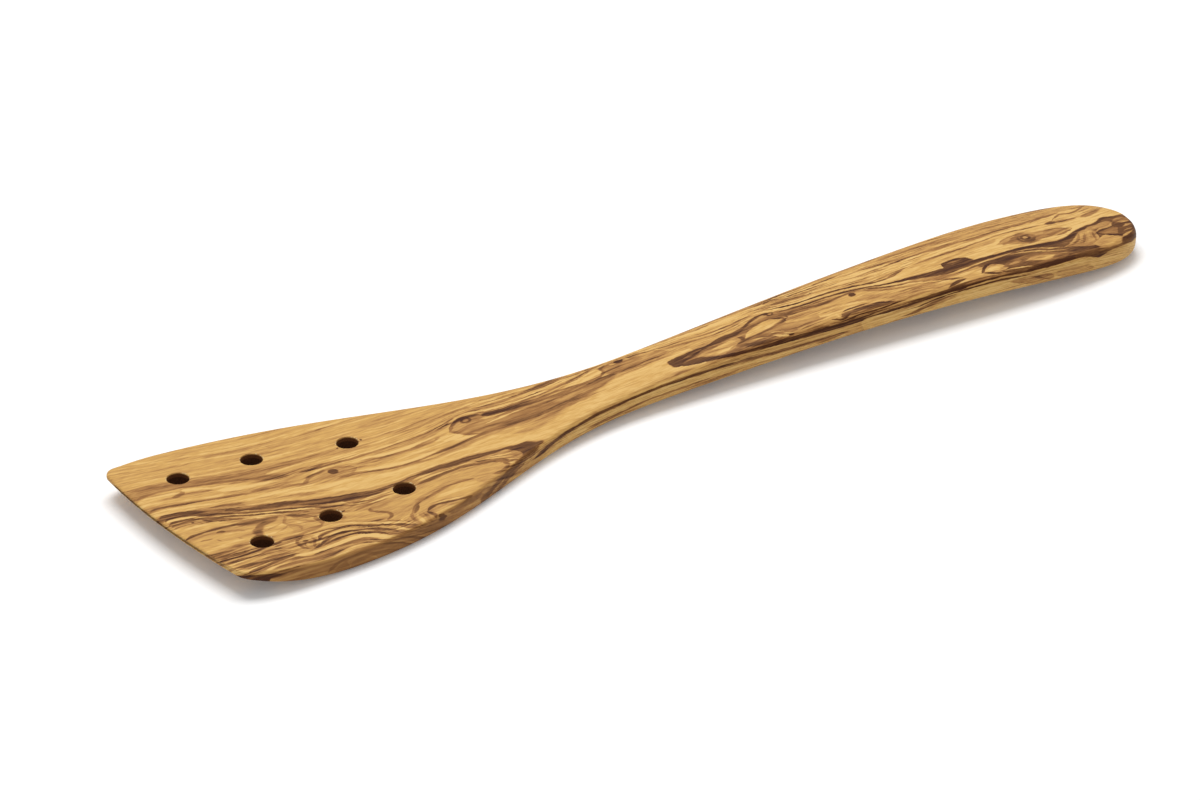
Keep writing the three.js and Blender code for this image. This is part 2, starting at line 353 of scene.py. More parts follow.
def line(value, width, *numbers):
    """A mark along a line, equally wide where it runs at a slant, which thins away to nothing at its two ends."""
    points = pairs(numbers)
    half = [0, *(LINE_SPREAD * width * math.hypot(1, (end[1] - start[1]) / (end[0] - start[0]))
                 for start, end in zip(points, points[2:])), 0]
    fade = LINE_FADE * sum(half) / (len(half) - 2)
    upper, lower = ([number for (a, v), wide in zip(points, half) for number in (a, v + side * wide)]
                    for side in (1, -1))
    return area(value, upper, lower, fade, fade)


def upright(value, width, *numbers):
    """A line that runs across the board, drawn through places given across first and then along."""
    lay = line(value, width, *numbers)[2]
    reach = numbers[1::2]
    return min(reach) - width, max(reach) + width, lambda along, across, ground: lay(across, along, ground)


def knot(value, at, over, long, wide, core=None):
    """A round mark, with a core of another shade if one is given."""
    def lay(along, across, ground):
        out = reckon("SQRT", reckon("POWER", (along - at) / long, 2) + reckon("POWER", (across - over) / wide, 2))
        ground = laid(ground, value, rising(out, *KNOT_EDGE))
        return ground if core is None else laid(ground, core, rising(out, *KNOT_CORE))
    return at - KNOT_REACH * long, at + KNOT_REACH * long, lay


def marked(name, marks, along, across, ground):
    """The ground with marks laid over it one after another, some to each node group."""
    tree = ground.socket.id_data
    for first in range(0, len(marks), MARKS_IN_GROUP):
        group = bpy.data.node_groups.new(name, "ShaderNodeTree")
        for socket in ("Along", "Across", "Ground"):
            group.interface.new_socket(socket, in_out="INPUT", socket_type="NodeSocketFloat")
        group.interface.new_socket("Marked", in_out="OUTPUT", socket_type="NodeSocketFloat")
        inner_along, inner_across, inner = (Field(socket) for socket in group.nodes.new("NodeGroupInput").outputs[:3])
        for start, end, lay in marks[first:first + MARKS_IN_GROUP]:
            inner = lay(inner_along, inner_across, inner)
        group.links.new(inner.socket, group.nodes.new("NodeGroupOutput").inputs[0])
        node = tree.nodes.new("ShaderNodeGroup")
        node.node_tree = group
        for socket, value in zip(node.inputs, (along, across, ground)):
            tree.links.new(value.socket, socket)
        ground = Field(node.outputs[0])
    return ground


# Places where the fine lines fade or grow stronger, each with how strong they are there.
smooth_places = [
    area(0.75, [0, 40, 160, 40], [0, 20, 20, 17, 40, 14, 60, 11, 90, 10.5, 120, 9, 160, 20], 3, 3),
    area(0.3, [50, -3, 62, -6, 75, -7, 90, -7, 104, -8, 118, -4, 136, 0, 152, 0, 160, -1], [50, -8, 62, -10,
         80, -10, 90, -11, 104, -16, 118, -13, 136, -11, 150, -9, 160, -1], 1, 1),
    area(0.45, [44, -17, 60, -17, 78, -16, 90, -19], [44, -22, 60, -27, 78, -27, 90, -20], 1, 1),
    area(1.7, [3, -19, 26, -19.5, 34, -20.5, 44, -21, 58, -31], [3, -34, 44, -34, 58, -36], 1, 1),
    area(1.4, [2, 4, 20, 1, 34, -3, 48, -9, 60, -11], [2, -3, 20, -7, 34, -12, 48, -15, 60, -13], 1, 1),
    area(2.2, [186, 9, 200, 9.5, 236, 9, 246, 6], [186, 4, 200, 1, 220, 0, 236, 2, 246, 5], 1, 1),
    area(1.5, [96, 9, 110, 9.5, 136, 9], [96, 5, 110, 4.6, 136, 7], 1, 1),
]

# Far side of the blade: pale sapwood, a soft brown band and bright wedges.
far_side_of_blade = [
    area(0.3, [0, 40, 164, 40], [0, 19, 10, 18.3, 20, 16.6, 30, 15, 40, 13.5, 52, 11, 64, 10, 80, 9.6, 90, 10.8,
         100, 9.3, 110, 8.5, 120, 8.3, 140, 8, 160, 12, 164, 40], 2, 2),
    line(0.08, 1.1, 5, 31.6, 9, 31, 13, 30.1, 17, 29.4, 21, 28.5, 25, 27.7, 30, 26.7, 36, 25.9, 42, 25.3, 50, 24.7,
         58, 24.3, 66, 23.6),
    line(0.46, 1.2, 14, 29.3, 19, 28, 24, 26.7, 29, 25.5, 35, 24.8, 41, 24.3, 48, 23.7, 56, 23.3, 64, 22.9),
    line(0.42, 1.1, 30, 23, 40, 21.8, 48, 21.3, 60, 21.2, 70, 20.6),
    line(0.14, 0.9, 38, 20.6, 46, 19.9, 54, 19.8, 64, 19.6),
    line(0.44, 1.5, 62, 18.4, 70, 18.1, 77, 18, 84, 18.4),
    area(0.57, [0, 19.4, 5, 20, 12, 18.8, 20, 17.6, 30, 16.2, 40, 15, 50, 13.8, 60, 12.2, 70, 11], [0, 13.6,
         5, 14.9, 10, 14.6, 20, 12.6, 30, 10.2, 34, 9.4, 40, 10, 50, 10.4, 60, 10.8, 70, 11], 2.2, 1),
    line(0.66, 2, 0, 16.2, 5, 17.4, 10, 16.7, 15, 15.9, 20, 14.9, 25, 13.8, 30, 12.6, 36, 11.4, 44, 11),
    line(0.72, 0.9, 0, 13.6, 3, 14.9, 7, 15.3, 11, 15, 15, 14.4, 19, 13.5, 23, 12.5, 27, 11.5, 31, 10.3, 34, 9),
    line(0.64, 1.8, 29, 11, 32, 9.8, 35, 8.8, 38, 7.6, 42, 6.8),
    line(0.56, 0.7, 46, 10.4, 55, 10, 65, 9.7, 75, 9.6, 82, 10, 88, 11, 96, 11.5, 106, 11.8),
    area(0.5, [72, 10.6, 79, 12.2, 85, 12.6, 92, 12], [72, 9.8, 79, 10.2, 85, 10.8, 92, 11.6], 0.8, 0.5),
    area(0.2, [36, 10.8, 45, 10.1, 55, 9.6, 66, 9.2, 76, 9, 84, 8.8], [36, 9.6, 44, 7.8, 55, 6.6, 66, 6.2, 76, 6.4,
         84, 8.6], 0.6, 0.8),
    area(0.1, [0, 12.4, 3, 14, 6, 14.3, 9, 13.9, 12, 13.2, 14, 12.2], [0, 9.4, 3, 10.6, 7, 11.1, 10, 11.2, 12, 11.6,
         14, 12.2], 0.6, 0.6),
    line(0.7, 1.4, 8.6, 11.3, 10.5, 11.2, 12.2, 11.8, 13.2, 12.6, 14, 13.6),
    line(0.5, 0.8, 10.6, 12.9, 12.4, 13.2, 14, 13.4),
    area(0.12, [13.6, 13.7, 17, 13.1, 21, 11.6, 25, 10.6, 29, 9.4, 32, 8.2, 36, 6.6, 40, 5.6], [13.6, 12, 16, 11.4,
         19, 10.8, 21, 8.4, 25, 6.2, 29, 5.2, 34, 4.7, 40, 5.2], 0.6, 0.8),
    area(-0.08, [20.4, 8.6, 23, 9.8, 26, 9.6, 29, 8.6, 32, 7.4, 36, 6.2], [20.4, 8.2, 23, 6.9, 26, 6, 29, 5.5,
         32, 5.2, 36, 5.4], 0.8, 0.8),
    area(0.5, [0, 6.6, 3, 8.3, 6, 8.4, 10, 7.8, 15, 7, 20, 6.1, 25, 5.1, 30, 4.3, 35, 3.2, 40, 2, 44, 1], [0, 6.2,
         3, 6.7, 6, 7, 10, 6.8, 15, 5.9, 20, 4.7, 25, 3.5, 30, 2.2, 35, 1.6, 40, 0.8, 44, 0.6], 0.5, 0.5),
    line(0.7, 1, 0.4, 6.4, 3, 7.6, 6, 7.7, 10, 7.2, 15, 6.4, 20, 5.3, 25, 4.3, 29, 3.4),
    line(0.68, 0.9, 26, 4.6, 30, 3.9, 35, 2.8, 39, 1.7, 42, 1.1, 44.5, 1),
    knot(0.95, 57, 12, 0.3, 0.3),
    knot(0.95, 64, 12.4, 0.35, 0.3),
]

# Middle of the blade: the bright band and the dark heartwood streak that ends in a blunt point.
middle_of_blade = [
    area(0.11, [0, 6, 4, 6.8, 8, 6.6, 15, 5.8, 20, 4.8, 30, 2.8, 40, 0.8, 48, -1.2, 54, -3, 60, -5, 70, -6,
         80, -6.3, 90, -6.5, 100, -8], [0, 3.6, 4, 4.4, 8, 4.2, 15, 2.6, 20, 1.8, 30, -1, 40, -4, 48, -7.5, 55, -10,
         62, -10.6, 70, -10.2, 80, -10, 90, -11, 100, -12.8], 0.8, 0.8),
    line(0.34, 0.7, 26, 1.4, 32, -0.6, 38, -2.4, 43, -4, 48, -5.6),
    area(0.6, [12, 2.4, 16, 2.2, 20, 1.6, 24, 0.2, 26, -1.6, 29, -2.6], [12, 0.4, 16, -0.6, 20, -2, 24, -3.4,
         29, -4], 0.5, 0.8),
    line(0.74, 0.8, 14, 2.2, 17, 2, 20, 1.5, 23, 0.8, 26, 0.2),
    area(0.54, [8, 0.4, 14, -0.8, 20, -2.4, 26, -4.6, 32, -6.6, 40, -9.4, 48, -12.2, 58, -13], [8, -1, 11, -2.4,
         15, -4.6, 20, -6.4, 25, -8, 29, -9.6, 33, -11.4, 37, -12.8, 42, -13.4, 50, -14.4, 58, -13.6], 0.4, 0.9),
    area(0.86, [8, 1.4, 10, 1.5, 15, 0.8, 18, 0.2, 20, -0.3, 22, -1, 24, -2.2, 27, -2.8, 30, -3.2, 33, -3.8,
         36, -4.9, 40, -6.4, 45, -8, 50, -9.4, 53, -10.2, 57, -10.9, 62, -10.8, 68, -10.3, 75, -10.1, 80, -10.1,
         85, -10.4, 90, -11.4, 95, -12.4, 100, -12.9, 102, -13.4, 103.2, -15], [8, 1.2, 10, 0.2, 15, -0.8, 20, -2.2,
         24, -4, 27, -5.2, 30, -6.2, 35, -7.8, 40, -10.2, 45, -12, 50, -13.4, 54, -13.8, 58, -13.2, 62, -12.4,
         66, -11.9, 70, -12.1, 75, -12.4, 80, -12.8, 85, -12.9, 90, -13.4, 93, -13.8, 94.6, -16, 95.5, -18.4,
         99, -17.8, 102, -16.5, 103.2, -15], 0.4, 0.7),
    area(0.72, [1.2, 3, 3, 4.2, 6, 4.3, 9, 3.9, 12, 2.9, 15, 1.8, 18, 0.8], [1.2, 0.2, 3, 1, 6, 1.2, 9, 0.6,
         12, -0.2, 15, -0.8, 18, -1.4], 0.4, 0.5),
    line(0.92, 1.3, 1.4, 2.4, 3.5, 3.5, 6, 3.4, 9, 2.8, 12, 1.7, 15, 0.6),
    line(0.9, 1, 1.8, 0.5, 4, 1.7, 6.5, 1.8, 9, 1.2, 12, 0.2, 15, -1, 18, -2),
    line(0.16, 0.7, 2.2, -0.4, 3.6, 0.6, 6, 0.7, 9, 0.2, 12, -0.9, 15, -2.2),
    line(0.78, 0.8, 2.4, -1.4, 4, -0.4, 6.5, -0.2, 9, -0.6, 12, -1.8, 15, -3.1, 19, -4.6),
    line(0.72, 0.7, 2.6, -2.4, 4.4, -1.6, 7, -1.6, 9.5, -1.9, 12, -2.9),
    line(0.6, 0.5, 3, -3.2, 5, -2.6, 7.5, -2.6, 9.5, -3),
    line(0.84, 0.9, 13, -0.2, 18, -2.2, 22, -3.8, 26, -5.4, 30, -6.9, 34, -8.4, 38, -10.2, 43, -12.4, 48, -13.6),
    line(0.8, 0.9, 9, -0.6, 13, -2, 17, -3.6, 21, -5, 26, -6.8, 31, -8.8, 35, -10.6, 39, -12.4),
    line(0.7, 0.8, 10, -1.8, 14, -3.6, 18, -5.2, 23, -7.2, 28, -9.2),
    line(0.14, 0.5, 17, -2.2, 21, -4.2, 25, -5.8, 29, -7.2, 33, -8.7, 37, -10.3, 42, -12.5),
    line(0.16, 0.5, 15, -3.2, 19, -4.8, 23, -6.4, 28, -8.2, 32, -10),
    line(0.4, 0.4, 37, -8.6, 41, -10.3, 45, -11.8, 49, -13),
    line(0.14, 1.4, 19, -6.3, 22, -7.3, 25, -8.2, 28, -9.2),
    line(0.66, 0.7, 13, -4.6, 18, -6.4, 23, -8.2, 27, -9.4),
    knot(0.95, 9, -2.3, 0.4, 0.35),
    line(0.82, 0.9, 11, -1.6, 12, -2.6, 13, -3.6, 14.4, -4.4),
    area(0.56, [64, -11.7, 72, -12.2, 80, -12.6, 86, -12.9, 92, -13.8, 95, -15], [64, -15, 72, -14.4, 80, -14.2,
         86, -15.4, 92, -18, 95, -18.4], 0.3, 0.4),
    line(0.14, 0.7, 64.4, -12.9, 67, -12.4, 70, -12.3, 73, -12.5),
    line(0.1, 0.8, 64.6, -14, 68, -13.5, 72, -13.2, 76, -13, 80, -13.1, 83, -13.6, 86, -14.6),
    line(0.12, 0.7, 83, -13, 86, -14.1, 89, -15.2, 92, -16.3, 94.8, -17.2),
    line(0.18, 0.6, 86, -13.2, 89, -14.2, 92, -14.9, 95, -15.2),
    line(0.3, 0.5, 89, -13.5, 92, -14.1, 95, -14.3),
    line(0.14, 1.1, 90.4, -16.6, 92, -17.9, 94.4, -19.2),
    line(0.12, 0.8, 48, -13.9, 52, -13.8, 56, -13.8, 59.4, -13.9),
    line(0.7, 0.8, 44, -15, 48, -15, 52, -14.9, 56, -14.9, 60, -15.2),
    line(0.22, 0.6, 44, -15.8, 49, -15.7, 55, -15.7),
    line(0.56, 1, 43, -16.6, 48, -16.4, 54, -16.3, 59, -16.6),
    line(0.82, 1.2, 64, -15.2, 68, -14.7, 72, -14.4, 76, -14, 80, -14, 84, -14.9, 88, -16.2, 91, -17.6, 93.6, -20),
]

# The two eyes in the middle of the blade, and the lines that part round them.
eyes_of_blade = [
    area(0.5, [41, 0.9, 43.6, 2.7, 46, 3.7, 50.5, 4.3, 54, 3.2, 57.6, 1.2], [41, 0.7, 46, 0.3, 50, -0.6, 53, -1.4,
         55, -0.5, 57.6, 1.2], 0.5, 0.6),
    area(0.56, [51, 0.4, 53.5, 0.6, 55, 0.6, 57, 1], [51, -0.8, 53, -1.6, 55, -0.6, 57, 0.8], 0.8, 0.4),
    line(0.72, 1.2, 40, 0.8, 42.2, 1.5, 43.6, 2.7, 46, 3.7, 48, 4.1, 51, 4.3),
    line(0.62, 0.8, 48, 4.1, 51, 4.2, 53.4, 3.4, 55.6, 2.3, 58, 1.2),
    line(0.62, 0.8, 53, -1.6, 54.6, -0.8, 56, 0.3, 58, 1.3),
    knot(0.92, 50.8, 2.5, 1.5, 1.3),
    line(0.06, 1.1, 34, 4.6, 42, 4.2, 46, 4.9, 50, 5.3, 54, 4.9, 58, 4, 62, 2.9, 66, 1.8, 72, 1),
    area(0.5, [58, 5.4, 64, 5.2, 70, 5, 76, 5, 82, 5.8, 86, 6.8], [58, 5.2, 64, 4, 70, 3.4, 76, 3.8, 82, 5,
         86, 6.6], 0.3, 0.6),
    line(0.68, 1, 40, 6.8, 46, 6.4, 52, 5.9, 58, 5.5, 64, 5.2, 70, 5.1, 76, 5.1, 81, 5.7, 85, 6.5, 88, 7.5, 91, 8.3,
         96, 8.6, 104, 8.2, 114, 8),
    line(0.6, 0.7, 42, 7.6, 50, 7, 60, 6.6, 70, 6.6, 78, 7),
    line(0.06, 1.3, 53, 4.8, 60, 3.9, 65, 2.7, 70, 2.1, 74, 2.3, 79, 3.4, 83, 4.4, 86, 5.3, 88.4, 6.6, 91, 7.8,
         95, 7.8, 99, 6.8),
    line(0.58, 0.9, 56, 4, 62, 2.5, 66, 1.4, 70, 1, 73, 1, 76, 1.6, 80, 2.2, 83, 2.6, 87, 3),
    area(0.24, [55, -0.7, 60, 0.8, 68, 0.4, 76, 1, 82, 2, 86, 2.2, 92, -2.5], [55, -1, 60, -2.6, 66, -4.2, 74, -4.4,
         80, -3.6, 86, -3.3, 92, -2.6], 0.8, 0.8),
    area(0.48, [72, 0.8, 76, 1.5, 80, 2.1, 83.6, 2.4], [72, 0.6, 76, 0.2, 80, 0.4, 83.6, 2.2], 0.4, 0.8),
    area(0, [57, -1.7, 62, -1.5, 66, -1.5, 70, -1.8, 74, -2.4, 79, -3.8], [57, -1.9, 61, -3.2, 64, -4, 68, -4.5,
         74, -4.6, 79, -4], 0.6, 0.4),
    line(0.36, 0.6, 74, 0.2, 76, -0.5, 78, -0.4, 80, -0.8),
    area(0.02, [79, 0.8, 83, 2.1, 86, 1.6, 89, -0.6, 92.5, -2.5], [79, 0.6, 83, -1, 86, -2.4, 89, -2.9, 92.5, -2.7],
         0.6, 0.6),
    line(0.66, 0.8, 79.6, 1.2, 81.4, 2, 83.4, 2.6),
    area(0.52, [60, -4.2, 70, -4.9, 78, -4.4, 84, -4, 92, -3.2, 100, -3], [60, -4.4, 66, -5.4, 72, -6, 78, -6.2,
         84, -6, 92, -5.6, 100, -6.4], 0.4, 0.8),
    line(0.72, 1, 48, -1.4, 53, -1.1, 56, -1.5, 59, -2.8, 62, -3.8, 65, -4.4, 70, -4.9, 75, -4.8, 79, -4.3, 84, -4,
         88, -3.5, 92, -3, 96, -2.8, 102, -2.8),
    line(0.6, 0.7, 66, -5.4, 72, -5.9, 78, -6, 84, -5.8, 90, -5.3),
    line(0.26, 0.7, 70, -5.3, 76, -5.4, 82, -5),
    area(0.66, [85.3, 3, 87, 4.9, 89, 6.2, 92, 7.2, 95, 6.6, 98, 5.3, 101, 4.7, 110, 4, 120, 3, 130, 2.8, 137, 2],
         [85.3, 3, 87, 1, 89, -0.8, 92, -2.4, 97, -3.5, 103, -6.5, 108, -7.5, 114, -6, 120, -4, 128, -3, 137, 0.5],
         0.4, 1.2),
    area(0.58, [86, 3, 88, 5.2, 90, 6.4, 91.4, 6.6], [86, 2.8, 88, 1.2, 90, 2, 91.4, 3.6], 0.6, 1.2),
    line(0.72, 1.3, 84.6, 3.4, 86.6, 2, 88.2, 0.2, 90, -1.2, 93.4, -2.8),
    line(0.78, 0.9, 85, 2.2, 86.6, 4, 88.4, 5.7, 90, 6.7, 91.6, 7.3, 93.4, 7.1, 95.4, 6.4, 98, 5.4),
    line(0.6, 0.6, 92, 1.5, 95, 1.8, 98, 2, 102, 2.5, 107, 2.2),
    line(0.16, 1, 94, 3.8, 97, 3.5, 100, 3.1, 106, 2.8),
    line(0.14, 0.6, 94, 0.8, 98, 1.1, 103, 1.4, 110, 1.4),
    knot(0.9, 92, 5.4, 1.6, 1.5, 0.7),
    line(0.94, 1.7, 95.6, 5.6, 97.6, 4.9, 100, 4.6, 103, 4.2, 107, 3.7, 111, 3.5, 117, 3.4),
    line(0.72, 0.8, 104, 4, 112, 3.6, 119, 3.6, 123, 3.1, 126, 2.8, 130, 2.8, 133, 3, 134.6, 4),
    line(0.76, 1.1, 95, -1.8, 99, -2.2, 103, -2.5, 107.4, -2.1),
    line(0.62, 0.7, 94, -3.4, 99, -3.6, 104, -3.4),
    line(0.2, 0.7, 95, -4.7, 101, -4.6, 108, -4.2),
    area(0.56, [116, 0.6, 121, 0.8, 126, 0.4, 131, -1], [116, -1, 121, -2.8, 126, -3, 131, -1.2], 1, 1),
]

